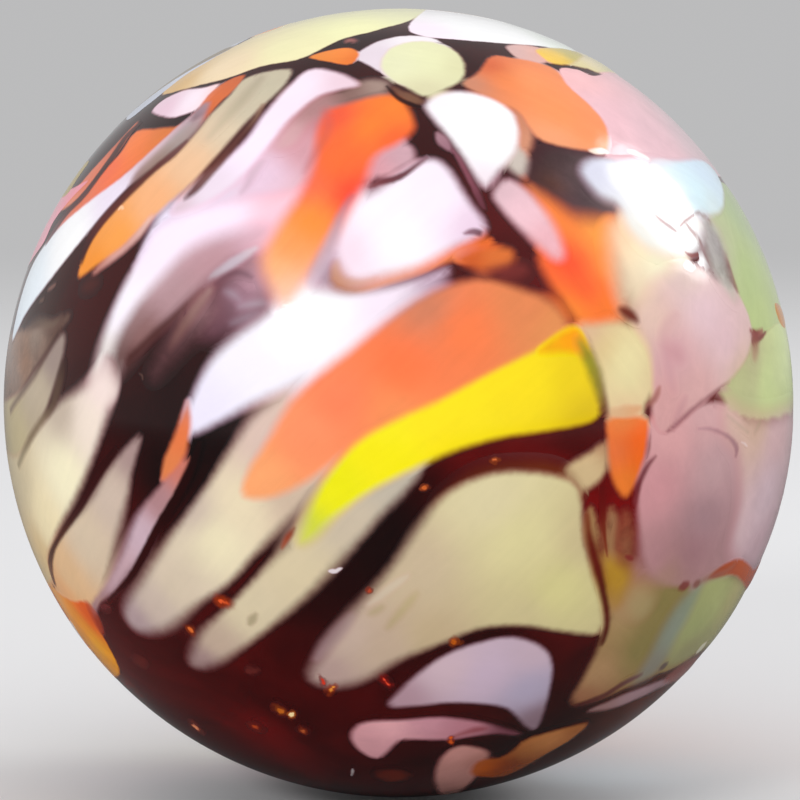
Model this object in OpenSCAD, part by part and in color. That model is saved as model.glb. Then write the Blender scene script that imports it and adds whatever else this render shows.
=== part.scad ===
// Glass marble: one solid ball of dark amber glass with broken chips of coloured glass
// melted into its skin. The chips lap over one another in thin layers, each a little
// proud of the one below, and the dark glass shows as shallow valleys between them.
// On one side the chips are drawn out into long leaning tongues, on the other they
// sit as they were laid, like rounded pebbles.

/* [Ball] */
// Diameter of the ball over its highest chips
ball_d = 25; // [14:0.5:60]

/* [Chips] */
// Height of each layer of chips above the one under it
lap_step = 0.03; // [0.01:0.01:0.08]
// How deep a chip is rooted below the lowest point of its edge
root_depth = 1.5; // [1:0.5:4]
// Straight cuts that each stretch of a melted edge is rounded with
melt_steps = 2; // [1:1:4]

/* [Pattern] */
// Angle that the middle of the near side leans up by
near_lean = 6; // [0:1:45]
// Number of chips laid over the far side
far_count = 36; // [0:1:60]
// Length of a drawn-out chip on the far side of a 25 mm ball
tongue_l = 9.5; // [6:0.5:12]
// Width of a drawn-out chip on the far side of a 25 mm ball
tongue_w = 3.4; // [2:0.2:5]
// Angle that the drawn-out chips lean by
tongue_lean = 57; // [0:1:90]
// Width of a rounded chip on the far side of a 25 mm ball
pebble_w = 5.6; // [3:0.2:7]

/* [Hidden] */
$fn = 180;

// Glass colours
amber_dark = "#2b0708";
cream = "#e9dfb6";
straw = "#d9d29c";
butter = "#eef0c0";
sand = "#cdbb9c";
tan = "#a87f58";
peach = "#f2b27a";
milk = "#f7eef6";
lilac = "#e6d3e6";
ice = "#dfe4f2";
sky = "#c4dfea";
pink = "#ecc6cd";
rose = "#c39aa4";
mauve = "#bd98a4";
smoke = "#8a7078";
salmon = "#e39a7c";
coral = "#f88555";
orange = "#f58428";
tangerine = "#fb9a58";
ember = "#f4582a";
amber = "#d98a1e";
lemon = "#f6df00";
pistachio = "#bccb93";
olive = "#948a58";

// Layers of chips, from the dark glass up to the ball's full diameter
layer_count = 4;
ball_r = ball_d / 2;
glass_r = ball_r - lap_step * layer_count;

// The ball that the outlines below are drawn on
drawn_r = 12.5;

// Chips of the near side: glass, layer, and the outline in mm as laid out flat from the
// middle of the near side, across and up, going round from one end of the chip
NEAR = [
    // crown cream
    [cream, 1, [[-9.7, 12.7], [-6.8, 12.1], [-5, 12.4], [-3.5, 12.5], [-2.1, 13.6], [-0.7, 14.3],
        [0.8, 15.9], [1.6, 20.9], [-2.7, 22.1], [-6, 20.3], [-6.5, 16.2], [-8.2, 14.6], [-9.1, 13.8]]],
    // crown strip
    [ice, 2, [[-11.7, 12.2], [-10.4, 12.5], [-9.6, 13.2], [-8.9, 14], [-7.7, 14.8], [-6.8, 16.9],
        [-8.7, 17.9], [-11.7, 16.3], [-13.1, 14.9]]],
    // crown lilac
    [lilac, 2, [[0.4, 14.4], [1, 13.7], [2.4, 13.6], [4.1, 13.8], [5.9, 14.4], [7.7, 15.1],
        [8.4, 18.7], [5.4, 20.7], [2.2, 20.6], [1, 16.5]]],
    // crown oval
    [milk, 1, [[-1.5, 12.3], [-1.1, 11.8], [-0.2, 11], [0.7, 10.7], [1.4, 11.3], [1.8, 12.5],
        [1.4, 13.5], [0.3, 13.7], [-0.8, 13.2]]],
    // crown lemon
    [butter, 2, [[-0.3, 11.9], [0.1, 12.9], [1.2, 13.4], [2, 12.9], [2.4, 12.1], [1.9, 11],
        [1.3, 10.4], [0.8, 10], [0.1, 10.5], [-0.3, 11.1]]],
    // crown ember
    [orange, 2, [[-3.2, 12.5], [-2.6, 12.8], [-1.8, 12.9], [-1.4, 12.5], [-1.5, 12], [-1.8, 11.8],
        [-2.5, 12.1]]],
    // shoulder pink
    [pink, 1, [[6.1, 12.6], [7, 13], [8.1, 13.2], [11.4, 17.1], [14.1, 16.1], [16, 13.9], [16.7, 11.8],
        [12.9, 9.3], [11, 8.9], [9, 8.4], [7.7, 8.3], [7, 8.4], [7.1, 9.4], [6.7, 10.3], [6.2, 11.1]]],
    // shoulder orange
    [tangerine, 2, [[2.2, 10.8], [2.8, 11.5], [3.4, 12.6], [4.2, 12.7], [5, 12.7], [5.9, 12.5],
        [6.2, 11.5], [6.9, 10.6], [7.3, 9.7], [7.1, 8.6], [6.3, 8.4], [5.3, 8.4], [4.6, 8.6],
        [4.3, 9.1], [4, 9.7], [3.3, 10.1], [2.7, 10.4]]],
    // brow pink
    [pink, 1, [[4.1, 13.5], [4.7, 13.8], [5.5, 13.9], [5.9, 13.2], [5.1, 12.6], [4.4, 12.7]]],
    // brow green
    [pistachio, 3, [[6.2, 13.7], [7.4, 15], [9.7, 17.6], [11.3, 16.7], [8.5, 13.7], [7.6, 13.4],
        [6.7, 13.2]]],
    // heart rim
    [orange, 1, [[2.9, 10.2], [3.6, 10], [4.2, 9.6], [4.4, 8.9], [4.3, 8.3], [4, 7.9], [3.6, 7.9],
        [3.8, 8.9], [3.4, 9.6]]],
    // heart
    [milk, 3, [[0.9, 9.6], [1.1, 10], [1.6, 10.3], [2.2, 10.4], [3, 10.2], [3.7, 9.7], [3.9, 8.9],
        [3.7, 8], [3.2, 7.3], [2.7, 6.6], [2.5, 6.7], [2.1, 7.5], [1.6, 8.4], [1.2, 9]]],
    // ember long
    [ember, 1, [[4, 6.8], [4.4, 6.6], [4.9, 6.2], [5.5, 5.8], [6.3, 5.8], [6.8, 5.7], [6.7, 4.3],
        [6.7, 2.8], [6.1, 2.5], [5.4, 2.4], [4.9, 3], [4.5, 3.6], [4.2, 4.3], [4.5, 5], [4.4, 5.8]]],
    // petal pink
    [pink, 2, [[2.9, 6.3], [3.1, 6.7], [3.4, 6.9], [3.9, 6.6], [4.4, 6], [4.8, 5.3], [5, 4.5],
        [4.7, 4.3], [4.2, 4.7], [3.6, 5.3], [3.1, 5.9]]],
    // cheek cream
    [cream, 2, [[6.7, 5.6], [7.8, 6], [8.9, 5.5], [9.7, 4.8], [9.6, 3.9], [8.7, 3.2], [7.8, 2.7],
        [7.3, 3], [6.8, 3.1], [6.7, 4.1]]],
    // glare white
    [ice, 3, [[5.9, 7.5], [6.5, 8.1], [7.9, 8.3], [9.5, 8.7], [10.7, 8.4], [11.1, 7.2], [10.9, 6],
        [10.3, 5.2], [9.3, 4.9], [8.1, 5], [7.4, 5.6], [7.1, 6.4], [6.4, 6.7]]],
    // sky chip
    [sky, 4, [[9.2, 8.3], [11, 9.3], [12.9, 10.1], [13.7, 9.6], [12.6, 7.6], [11.2, 6.8], [10, 6.6],
        [9.3, 7.1]]],
    // rim green
    [pistachio, 1, [[13.7, 9.4], [12.3, 7.5], [11.4, 6.6], [11.9, 5.5], [12.2, 4.4], [12.6, 3.5],
        [13.1, 2.7], [14.3, 2.8], [16.6, 3.6], [20.1, 5.2], [20.2, 8.2], [18.4, 10.5]]],
    // rim green low
    [pistachio, 2, [[12.3, 1.9], [11.8, 1.1], [10.9, 0.2], [11.8, -0.4], [13.8, -0.6], [18.2, -0.3],
        [20.7, 0.2], [21.1, 3.3], [20, 4.4], [15.1, 3.1], [13.5, 2.3]]],
    // blush
    [pink, 3, [[9.7, 4.6], [11.2, 4.5], [12.3, 3.9], [12.9, 2.8], [12.5, 1.8], [11.5, 0.9], [9.9, 0],
        [8.4, -0.9], [7.9, -0.4], [7.9, 0.4], [7.8, 1.6], [7.3, 2.6], [7.9, 3.4], [8.8, 4.2]]],
    // hip olive
    [olive, 1, [[6.2, -4.8], [6.5, -5.9], [6.8, -6.8], [6.7, -8.1], [6.4, -9.2], [6.1, -10.5],
        [7.2, -10.7], [8.9, -10.4], [10.8, -10.3], [12.2, -10], [12.1, -8.3], [11, -6.7], [9.4, -6.2],
        [7.7, -5.5]]],
    // hip green
    [pistachio, 2, [[10.6, -6.5], [11.9, -6.3], [13.5, -6.9], [16.2, -8.4], [17.6, -9.2],
        [16.4, -11.6], [12.6, -10.5], [10.5, -10.2], [9.6, -8.9], [10.1, -7.5]]],
    // hip sky
    [sky, 3, [[10.8, -6.4], [10, -6.8], [9.4, -7.7], [9.1, -8.8], [8.7, -10.3], [9.8, -10.1],
        [10.2, -8.6], [10.6, -7.5]]],
    // rose big
    [rose, 1, [[8.4, -0.8], [9.3, -0.3], [10.3, 0], [11.4, -0.2], [12.5, -1.3], [13.2, -3.6],
        [13.4, -5.4], [12.7, -6.3], [10.9, -6.4], [9.5, -6.2], [8.4, -5.6], [7.6, -4.6], [7.3, -3.4],
        [7.4, -2.3], [7.7, -1.4], [7.7, -0.5]]],
    // rose rim
    [rose, 3, [[11.1, 0], [12.2, -0.4], [14.2, -0.5], [18.2, -0.2], [21.1, -0.9], [20.3, -7.4],
        [18.4, -8], [15.6, -7.4], [13.5, -6.4], [12.2, -5.2], [12.3, -3.5], [11.9, -1.8], [11.1, -1]]],
    // oval cream
    [cream, 1, [[5.4, 2.3], [6, 2.4], [6.8, 2.5], [7.5, 2.2], [7.9, 1.5], [8, 0.6], [7.6, -0.1],
        [7.5, -0.5], [6.9, -0.5], [6.4, -0.4], [6.2, 0.2], [5.9, 1.1], [5.7, 1.7]]],
    // flame drop
    [orange, 2, [[6.3, -0.5], [7, -0.4], [7.7, -0.5], [7.7, -1.1], [7.6, -1.7], [7.3, -2.5], [7, -2.9],
        [6.6, -2.5], [6.4, -1.9], [6.3, -1.1]]],
    // pebble cream
    [cream, 1, [[4.9, -2.1], [5.1, -1.8], [5.7, -1.5], [6.2, -1.2], [6.3, -1.8], [6.1, -2.3],
        [5.6, -2.6], [5.2, -2.5]]],
    // fringe tan
    [tan, 2, [[1.2, -2.9], [1.8, -2.2], [2.6, -1.8], [3.6, -1.7], [4.6, -1.8], [5.2, -2.2],
        [5.4, -2.9], [3.5, -2.5], [2.1, -2.8]]],
    // big cream
    [straw, 3, [[-2.6, -8.9], [-2.2, -7.8], [-1.4, -6.7], [-0.7, -5.5], [-0.1, -4.7], [0.6, -3.6],
        [1.3, -2.7], [2.2, -2.2], [3.3, -2], [4.8, -2.2], [5.4, -2.7], [5.6, -4], [6, -5.2],
        [6.5, -6.4], [6.6, -7.5], [5.4, -7.3], [3.9, -6.9], [2.5, -6.9], [1.3, -7.4], [0, -8],
        [-1.2, -8.8], [-2, -9]]],
    // cream long
    [cream, 1, [[-9.6, -7.2], [-8.7, -6], [-7.8, -4.8], [-6.9, -3.7], [-5.9, -2.5], [-5, -1.5],
        [-4.1, -0.3], [-2.8, 0.4], [-1.8, -0.5], [-1.6, -1.5], [-2.2, -2.2], [-2.8, -3], [-3.5, -3.7],
        [-4.3, -4.5], [-5.2, -5.5], [-6.4, -6.4], [-7.7, -7.5], [-9, -8.1], [-9.7, -8]]],
    // cream tail
    [cream, 1, [[-7.1, -8.8], [-6.4, -7.5], [-5.3, -6.4], [-4.3, -5.3], [-3.3, -4.2], [-2.3, -3.2],
        [-1.3, -2.5], [0.6, -1.8], [0.2, -2.5], [-0.4, -3.1], [-1, -3.8], [-1.7, -4.6], [-2.5, -5.5],
        [-3.4, -6.4], [-4.6, -7.5], [-5.8, -8.5], [-6.7, -9]]],
    // coral
    [coral, 2, [[-4.6, -2.7], [-4.4, -2], [-3.8, -1.1], [-3.1, 0], [-2.3, 0.8], [-1.4, 1.5],
        [-0.4, 2.3], [0.6, 3], [1.5, 3.4], [2.5, 3.6], [3.7, 3.3], [4.5, 3], [5, 2.3], [4.5, 1.8],
        [2.9, 1], [1.2, 0.1], [-0.4, -0.6], [-1.5, -1.4], [-2.4, -2.1], [-3.3, -2.6], [-4, -2.8]]],
    // lemon
    [lemon, 3, [[-2.9, -4.1], [-2.7, -3.3], [-2.3, -2.5], [-1.7, -1.7], [-1, -1], [0.1, -0.4],
        [1.2, 0.1], [2.5, 0.8], [3.9, 1.5], [5.2, 2.2], [5.7, 1.5], [6, 0.5], [6, -0.3], [5.6, -0.6],
        [4.4, -0.8], [2.9, -1], [1.5, -1.4], [0.2, -2], [-0.9, -2.6], [-1.8, -3.3], [-2.4, -3.9]]],
    // white sweep
    [milk, 1, [[-6.2, -0.9], [-6.3, -0.3], [-6, 0.5], [-5.5, 1.3], [-4.6, 2.1], [-3.8, 2.6],
        [-2.8, 3.3], [-1.5, 3.2], [0, 3.4], [1.4, 3.9], [1.2, 3.5], [0.2, 3], [-0.9, 2.2], [-1.9, 1.5],
        [-3.1, 0.9], [-4.3, 0.2], [-5.4, -0.5]]],
    // quad fringe
    [salmon, 1, [[-1.9, 3.4], [-1.7, 3.8], [-0.8, 3.5], [0.3, 3.9], [1.5, 4.4], [2.7, 4.9], [2.7, 4.6],
        [2, 4.3], [0.9, 3.9], [-0.2, 3.5], [-1.3, 3.2]]],
    // quad
    [milk, 2, [[-1.8, 4.1], [-1.9, 4.8], [-1.5, 5.8], [-0.5, 6.5], [0.4, 7.2], [1, 7.5], [1.5, 7.2],
        [2.1, 6.1], [2.6, 5.3], [2.3, 4.9], [1.7, 4.6], [0.7, 4], [-0.3, 3.7], [-1.3, 3.5]]],
    // quad ember
    [orange, 2, [[1.8, 4.2], [2.4, 4.5], [3, 4.6], [3.4, 4.5], [3.3, 4.1], [2.8, 3.9], [2.3, 3.9]]],
    // mauve bit
    [mauve, 1, [[-1.1, 7.4], [-0.6, 7.9], [-0.1, 8.1], [0.4, 8], [0.5, 7.5], [0.1, 7.2], [-0.3, 6.9],
        [-0.8, 6.9]]],
    // brush red
    [ember, 3, [[0.3, 9.6], [-0.1, 10.1], [-0.7, 10.1], [-1.6, 9.8], [-2.3, 9.5], [-2.6, 8.6],
        [-2.6, 7.5], [-3, 6.4], [-4, 4.1], [-3.5, 3.4], [-2.7, 3.7], [-2.2, 4.6], [-1.6, 5.6],
        [-1, 6.7], [-0.7, 7.6], [0, 8.1], [0.5, 8.7]]],
    // lilac field
    [lilac, 1, [[-2.2, 9.7], [-3.1, 9.4], [-3.7, 8.6], [-4.3, 7.8], [-5.2, 7.1], [-6.4, 6.5],
        [-7.7, 6.1], [-8.4, 5.4], [-9, 4.3], [-7.7, 3.5], [-6.5, 4.5], [-5.2, 5], [-4.2, 5.1],
        [-3.4, 5.3], [-2.9, 6.2], [-2.6, 7.8]]],
    // white fall
    [milk, 2, [[-2.9, 6.2], [-4.3, 6.3], [-5.6, 6.2], [-7, 6.1], [-8.1, 5.9], [-8.7, 4.8], [-9.5, 3.3],
        [-10, 1], [-9.2, 0.7], [-8.8, 2], [-8.1, 3.2], [-7.1, 4.4], [-5.7, 5], [-4.1, 5.2]]],
    // dusky streak
    [mauve, 3, [[-4.1, 5.2], [-5.2, 5.1], [-6.3, 4.6], [-7.2, 3.8], [-8.2, 2.8], [-9.1, 1.4],
        [-8.6, 1], [-7.4, 2], [-6.2, 2.9], [-5.4, 3.5], [-4.3, 4.4]]],
    // grey lilac
    [smoke, 2, [[-0.4, 10.8], [-1.1, 10.9], [-1.9, 10.4], [-2.8, 10.1], [-3.4, 9.3], [-3.9, 8.2],
        [-3.3, 8.2], [-2.8, 9.1], [-1.9, 9.7], [-1, 10.1], [-0.4, 10.3]]],
    // ivory streak
    [milk, 3, [[-1.3, 10.7], [-2.1, 11.4], [-3.1, 11.7], [-3.8, 10.8], [-4.5, 9.6], [-5.2, 8.3],
        [-7.3, 6.3], [-6.3, 6.3], [-5.2, 6.9], [-4.3, 8], [-3.6, 9.2], [-2.7, 10.2], [-1.9, 10.5]]],
    // straw streak
    [peach, 1, [[-11.2, 4.4], [-11, 5.3], [-10.4, 6.2], [-9.5, 7.1], [-8.6, 7.9], [-7.7, 8.4],
        [-7, 9.3], [-6.5, 10.2], [-6, 10.9], [-5.5, 11.8], [-3.9, 11.9], [-3.9, 11.1], [-4.4, 10.3],
        [-5.1, 9.4], [-5.7, 8.5], [-6.3, 7.7], [-6.8, 7.1], [-7.6, 6.5], [-8.6, 5.6], [-9.4, 5],
        [-10.3, 4.7]]],
    // tangerine edge
    [orange, 2, [[-5.6, 12], [-6.1, 12], [-6.6, 11.7], [-7, 11.2], [-7.2, 10.5], [-7.5, 9.7], [-8, 9],
        [-7.4, 9.1], [-7.1, 9.5], [-6.7, 10], [-6.3, 10.7], [-5.9, 11.2]]],
    // cap lilac
    [lilac, 1, [[-9.7, 11.5], [-9.4, 12.1], [-8.4, 12.2], [-7.4, 11.9], [-6.6, 11.8], [-6.8, 11],
        [-7.2, 10.6], [-7.7, 10.5], [-8.5, 10.6]]],
    // limb white
    [ice, 3, [[-7, 10.5], [-7.7, 10.1], [-8.3, 9.5], [-9.1, 8.8], [-10.1, 8.1], [-11.7, 7.5],
        [-13.7, 6.8], [-15.7, 5.6], [-16.4, 2.7], [-14.8, 3.6], [-13.1, 4.6], [-11.4, 5.9],
        [-10.3, 6.9], [-9.3, 7.8], [-8.3, 8.7], [-7.4, 9.6]]],
    // limb orange
    [tangerine, 1, [[-7.9, 9.8], [-9.1, 10.2], [-10.2, 10.5], [-10.6, 9.5], [-11.6, 8.6], [-12.5, 7.8],
        [-13.8, 7.1], [-12.3, 7.1], [-10.9, 7.7], [-9.7, 8.4], [-8.7, 9.1]]],
    // limb brown
    [smoke, 1, [[-10.4, 11.3], [-11, 10.6], [-11.8, 9.8], [-12.8, 9], [-13.9, 8], [-12.7, 8],
        [-11.6, 8.8], [-10.7, 9.8]]],
    // limb pink
    [pink, 2, [[-12.2, 8.8], [-13.2, 8.3], [-14.4, 7.6], [-14.9, 6.6], [-17.1, 6.3], [-18.7, 7.4],
        [-17.5, 10.2], [-13.6, 9]]],
    // cheek grey
    [sand, 1, [[-11.4, 3.1], [-12, 2.6], [-12.9, 2.2], [-14, 1.5], [-15.4, 0.4], [-17.2, -0.3],
        [-20.5, 0.7], [-20.3, 3.2], [-14.7, 2.8], [-13, 2.9]]],
    // cheek olive
    [sand, 2, [[-11.7, 2.2], [-11.8, 1.3], [-12.3, 0.4], [-13.2, -0.8], [-14.3, -1.7], [-17.3, -3],
        [-19.9, -2.8], [-20.3, -0.4], [-14.9, 0.2], [-13.3, 1.1]]],
    // cheek big
    [cream, 3, [[-9.6, 1.4], [-9.2, 0.5], [-9.6, -0.8], [-10.2, -1.9], [-11.3, -3.4], [-12.9, -5],
        [-14.1, -6.3], [-14.4, -7.4], [-18.1, -8.8], [-19.9, -4.9], [-19.7, -2.3], [-15.5, -2.2],
        [-13.2, -1], [-12, 0.2], [-11, 1]]],
    // jaw beige
    [sand, 1, [[-8, -1], [-8.7, -1.5], [-9.5, -2.3], [-10.4, -3.3], [-11.7, -4.4], [-13.2, -5.6],
        [-14.2, -6.8], [-14.1, -8.7], [-11.8, -7.5], [-10.4, -6], [-9.5, -4.7], [-8.9, -3.3],
        [-8.4, -2.1]]],
    // jaw amber
    [amber, 2, [[-15, -7.5], [-13.7, -7.5], [-12.2, -7.5], [-11.4, -8], [-11.1, -9], [-11.1, -10.6],
        [-14.6, -13.2], [-16.3, -11]]],
    // ribbon ember
    [ember, 2, [[-6.3, 0.1], [-6.5, -0.2], [-6.8, -0.8], [-7, -1.4], [-7.2, -1.9], [-7.4, -2.4],
        [-7, -2.2], [-6.7, -1.9], [-6.4, -1.6], [-6.2, -1.2], [-6.2, -0.6]]],
    // ribbon mauve
    [mauve, 1, [[-6.3, -1.7], [-6.8, -1.9], [-7.3, -2.5], [-7.9, -3.1], [-8.4, -3.7], [-8.8, -4.4],
        [-9.4, -5.3], [-10.1, -6.2], [-10.8, -6.9], [-11.4, -7.5], [-11.4, -8], [-10.8, -7.2],
        [-9.9, -6.6], [-9.1, -5.8], [-8.4, -5.1], [-7.8, -4.3], [-7.4, -3.6], [-6.9, -3],
        [-6.6, -2.3]]],
    // lip lilac
    [lilac, 1, [[-0.3, -9.9], [0.1, -9.2], [0.6, -8.6], [1.4, -7.9], [2.3, -7.5], [3.4, -7.3],
        [4.5, -7.7], [5.2, -8.3], [5.4, -9.3], [5.1, -11.4], [4.6, -11.5], [3.8, -10.3], [3, -9.9],
        [1.8, -9.8], [0.6, -10]]],
    // chin pink
    [pink, 1, [[-1.6, -11.6], [-1.3, -10.8], [-0.6, -10.4], [0.4, -10.1], [1.6, -10.2], [2.9, -10.5],
        [4, -11.4], [2.9, -11.2], [1.6, -11.5], [0.3, -11.7], [-0.6, -12.5], [-1.3, -12.3]]],
    // foot lilac
    [lilac, 1, [[1.4, -14.7], [1.6, -13.2], [2.1, -12.3], [2.8, -12.2], [3.5, -12.9], [2.9, -13.7],
        [2.7, -15.3], [2, -18.7]]],
    // foot amber
    [amber, 2, [[2.7, -14.4], [3.1, -13.5], [4, -13.3], [5.1, -13], [7.2, -12.5], [6.4, -13.7],
        [5.3, -14.8], [4.2, -15.4]]],
    // hip yellow
    [amber, 2, [[6.3, -4.8], [6.8, -4.9], [7.4, -5.5], [7.4, -6.3], [7, -6.6], [6.6, -5.9]]],
    // hip ember
    [ember, 4, [[11.3, -6.2], [12.3, -6], [13.2, -6.1], [15.3, -7.3], [16.7, -7.2], [16.4, -8],
        [14.9, -7.9], [12.9, -6.6]]],
    // hip mauve
    [mauve, 1, [[6.9, -11.4], [7.5, -11], [8.6, -10.8], [10.4, -11.1], [13.6, -11.5], [13.4, -12.3],
        [11.6, -12], [9.7, -11.7], [8.3, -11.8]]],
];

// Outlines of the far side's chips, as shares of their length and width
TONGUE = [[-0.5, -0.08], [-0.34, 0.3], [-0.05, 0.5], [0.26, 0.42], [0.5, 0.12], [0.36, -0.22],
    [0.06, -0.5], [-0.28, -0.42]];
PEBBLE = [[-0.5, -0.06], [-0.4, 0.36], [-0.04, 0.5], [0.38, 0.34], [0.5, -0.04], [0.3, -0.44],
    [-0.12, -0.5], [-0.42, -0.3]];
SHARD = [[-0.5, -0.2], [-0.44, 0.34], [0.02, 0.5], [0.46, 0.3], [0.5, -0.3], [0.06, -0.5]];

// Glass of the far side's chips, taken in turn
FAR_GLASS = [cream, milk, tangerine, pink, straw, mauve, pistachio, ember, lilac, sand, coral, sky,
    rose, butter, orange, olive];
// Edge of the far side's lay, as an angle from its middle
far_reach = 84;
// Turn from one chip of the lay to the next, which never lines them up
golden_turn = 137.508;
// Steps through the glass and the sizes that keep neighbours unlike
glass_stride = 5;
size_stride = 0.618;
lean_stride = 0.414;
// How much the sizes and the leans vary
size_spread = 0.35;
lean_spread = 40;
// Chips this far to the drawn-out side are tongues, as a share of the radius
tongue_from = 0.1;
// Layers that the far side's chips take in turn
far_layers = 3;
// Length of a rounded chip as a share of its width
pebble_squash = 0.9;

function part_of_one(x) = x - floor(x);

// A rounded closed line through the points P, n steps from each to the next
function between(a, b, c, d, t) =
    0.5 * (2 * b + (c - a) * t + (2 * a - 5 * b + 4 * c - d) * t ^ 2 + (3 * b - a - 3 * c + d) * t ^ 3);
function melted(P, n) = let (m = len(P)) [
    for (i = [0:m - 1], k = [0:n - 1])
        between(P[(i + m - 1) % m], P[i], P[(i + 1) % m], P[(i + 2) % m], k / n)
];

// A flat point (across, up) laid on a ball of radius 1, keeping its distance from the near middle
function laid(p) = let (
    d = norm(p),
    turn = d / drawn_r * 180 / PI,
    s = d == 0 ? 0 : sin(turn) / d
) [s * p[0], -cos(turn), s * p[1]];

function total(V, i = 0) = i < len(V) ? V[i] + total(V, i + 1) : [0, 0, 0];

// One chip: a straight-sided slug turned to its place, rooted in the ball and ground off
// to its layer's sphere
module chip(glass, layer, outline, place) {
    skin_r = glass_r + lap_step * layer;
    edge = [for (p = melted(outline, melt_steps)) laid(p)];
    middle = total(edge) / norm(total(edge));
    foot = skin_r * min([for (p = edge) p * middle]) - root_depth;
    around = atan2(middle[1], middle[0]);
    down = acos(middle[2]);
    // The edge as seen straight down on the chip's middle
    plan = [for (p = edge) let (q = cos(around) * p[0] + sin(around) * p[1])
        skin_r * [cos(down) * q - sin(down) * p[2], cos(around) * p[1] - sin(around) * p[0]]];
    color(glass)
        intersection() {
            sphere(r = skin_r);
            rotate(place) rotate([0, down, around])
                translate([0, 0, foot]) linear_extrude(height = ball_d) polygon(plan);
        }
}

module near_chips() {
    for (c = NEAR) chip(c[0], c[1], c[2], [-near_lean, 0, 0]);
}

// Chips of the far side, spread evenly from its middle outwards in a spiral
module far_chips() {
    for (i = [0:1:far_count - 1]) {
        off = acos(1 - (1 - cos(far_reach)) * (i + 0.5) / far_count);
        at = [sin(off) * cos(i * golden_turn), cos(off), sin(off) * sin(i * golden_turn)];
        drawn_out = at[0] < -tongue_from;
        grown = 1 + size_spread * (part_of_one(i * size_stride) - 0.5);
        lean = drawn_out ? tongue_lean + lean_spread * (part_of_one(i * lean_stride) - 0.5)
                         : 360 * part_of_one(i * lean_stride);
        shape = drawn_out ? TONGUE : i % 2 == 0 ? PEBBLE : SHARD;
        size = grown * (drawn_out ? [tongue_l, tongue_w] : [pebble_w, pebble_squash * pebble_w]);
        outline = [for (p = shape) let (x = p[0] * size[0], y = p[1] * size[1])
            [x * cos(lean) - y * sin(lean), x * sin(lean) + y * cos(lean)]];
        chip(FAR_GLASS[(i * glass_stride) % len(FAR_GLASS)], 1 + i % far_layers, outline,
            [-asin(at[2]), 0, atan2(at[0], -at[1])]);
    }
}

module marble() {
    color(amber_dark) sphere(r = glass_r);
    near_chips();
    far_chips();
}

marble();
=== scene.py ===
# Looks of a handmade glass marble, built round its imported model: a ball of dark amber glass
# with broken chips of coloured glass melted into its skin, lapping over one another.
import math

import bpy
import numpy as np
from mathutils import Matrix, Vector, noise


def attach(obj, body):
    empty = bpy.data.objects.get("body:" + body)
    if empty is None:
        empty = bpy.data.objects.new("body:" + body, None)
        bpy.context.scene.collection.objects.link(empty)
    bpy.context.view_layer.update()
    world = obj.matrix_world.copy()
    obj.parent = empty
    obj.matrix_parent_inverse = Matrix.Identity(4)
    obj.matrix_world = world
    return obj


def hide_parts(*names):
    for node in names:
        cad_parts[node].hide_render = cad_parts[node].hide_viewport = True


MM = 0.001
# Keeps a division from dividing by nothing
TINY = 1e-12

# ---------------------------------------------------------------- the ball, in mm
BALL_R = 12.5
# The dark glass under the chips
GLASS_R = 12.38
# The middle of the near side leans up by this
NEAR_LEAN = math.radians(6)
# The drawn-out side is melted nearly flush and the pebbled side keeps more of its relief;
# one turns into the other between these shares of the way from the ball's middle to its right
FLUSH_RELIEF = 0.05
FULL_RELIEF = 0.65
RELIEF_SPAN = (-0.1, 0.5)
# Lumps of a ball rounded by hand: how fine, which place in the noise, how high
LUMPS = [(3.1, (7, 1, 3), 0.016), (9.0, (2, 5, 9), 0.005)]
BALL_SUBDIVISIONS = 7

# ---------------------------------------------------------------- a chip's skin, in mm
# Height of each layer over the one below, and the least height over what a chip lies on
LAP_STEP = 0.03
THIN_LAP = 0.004
RIM_LIFT = 0.002
CHIP_WALL = 0.3
# The skin is rounded down over this width at the rim, this many times as wide where it is
# flush, and wider still by a share of the soft edge
RIM_WIDTH = 0.13
FLUSH_RIM = 3.5
RIM_SOFT = 0.5
# The very edge sinks by a share of the chip's thickness over a narrow width
RIM_SINK = 0.5
RIM_SINK_WIDTH = 0.04
# How far glass runs on below the soft edge of a chip that covers at least this fully
MOST_RUN_ON = 0.25
SOLID_COVER = 0.97
# A point moved out of an outline stays out by this share of the move, or isn't moved
WELL_OUT = 0.8
# Chips further apart than their own reach and this angle don't meet
NEARBY = 0.05
FAR_OUTSIDE = -9.0

# ---------------------------------------------------------------- how finely chips are meshed
# Cuts that each stretch of a melted edge, or of a thin streak, is rounded with
MELT_STEPS = 10
STREAK_STEPS = 6
LEAST_HALF_WIDTH = 0.01
# Spacing of a chip's mesh along it and the widest spacing across it, in mm, then the fewest
# and the most places, and how many more rows crowd at its edges
STATION_GAP = 0.22
ROW_GAP = 0.42
STATIONS = (14, 60)
ROWS = (11, 29)
EDGE_ROWS = 8
# Sizes in mm that crowding is worked out from, its range, and its share along a chip
LEAST_SIZE = 0.3
EVEN_SIZE = 0.4
CROWDING = (0.05, 2.6)
CROWDED_ALONG = 0.4
# A chip's short ends, as shares of its mean width and at most of its outline
END_WIDTH = 0.7
MOST_END = 0.12
SIDE_PLACES = 60
WIDTH_PLACES = 9
# The even grid that a chip's mesh is read from, and how it is relaxed
EVEN_PLACES = (41, 21)
RELAX_ROUNDS = 160
RELAX_SHARE = 0.8

# ---------------------------------------------------------------- colours of the glass
# How far dabs of colour run into one another, in mm, and how fast each gives way
DAB_BLUR = 0.45
DARK_BLUR = 1.0
DAB_FALL = 1.5
# How much red, green and blue the amber glass takes at the very edge of a chip
EDGE_TAKES = (0.0, 0.42, 0.32)
# How much brighter the dark glass shows than it is written
DARK_SHOWS = 1.35
# What the reflection of a pale room adds to a glass's own colour
GLOSS_ADDS = 0.008
DARKEST = 0.001
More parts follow.
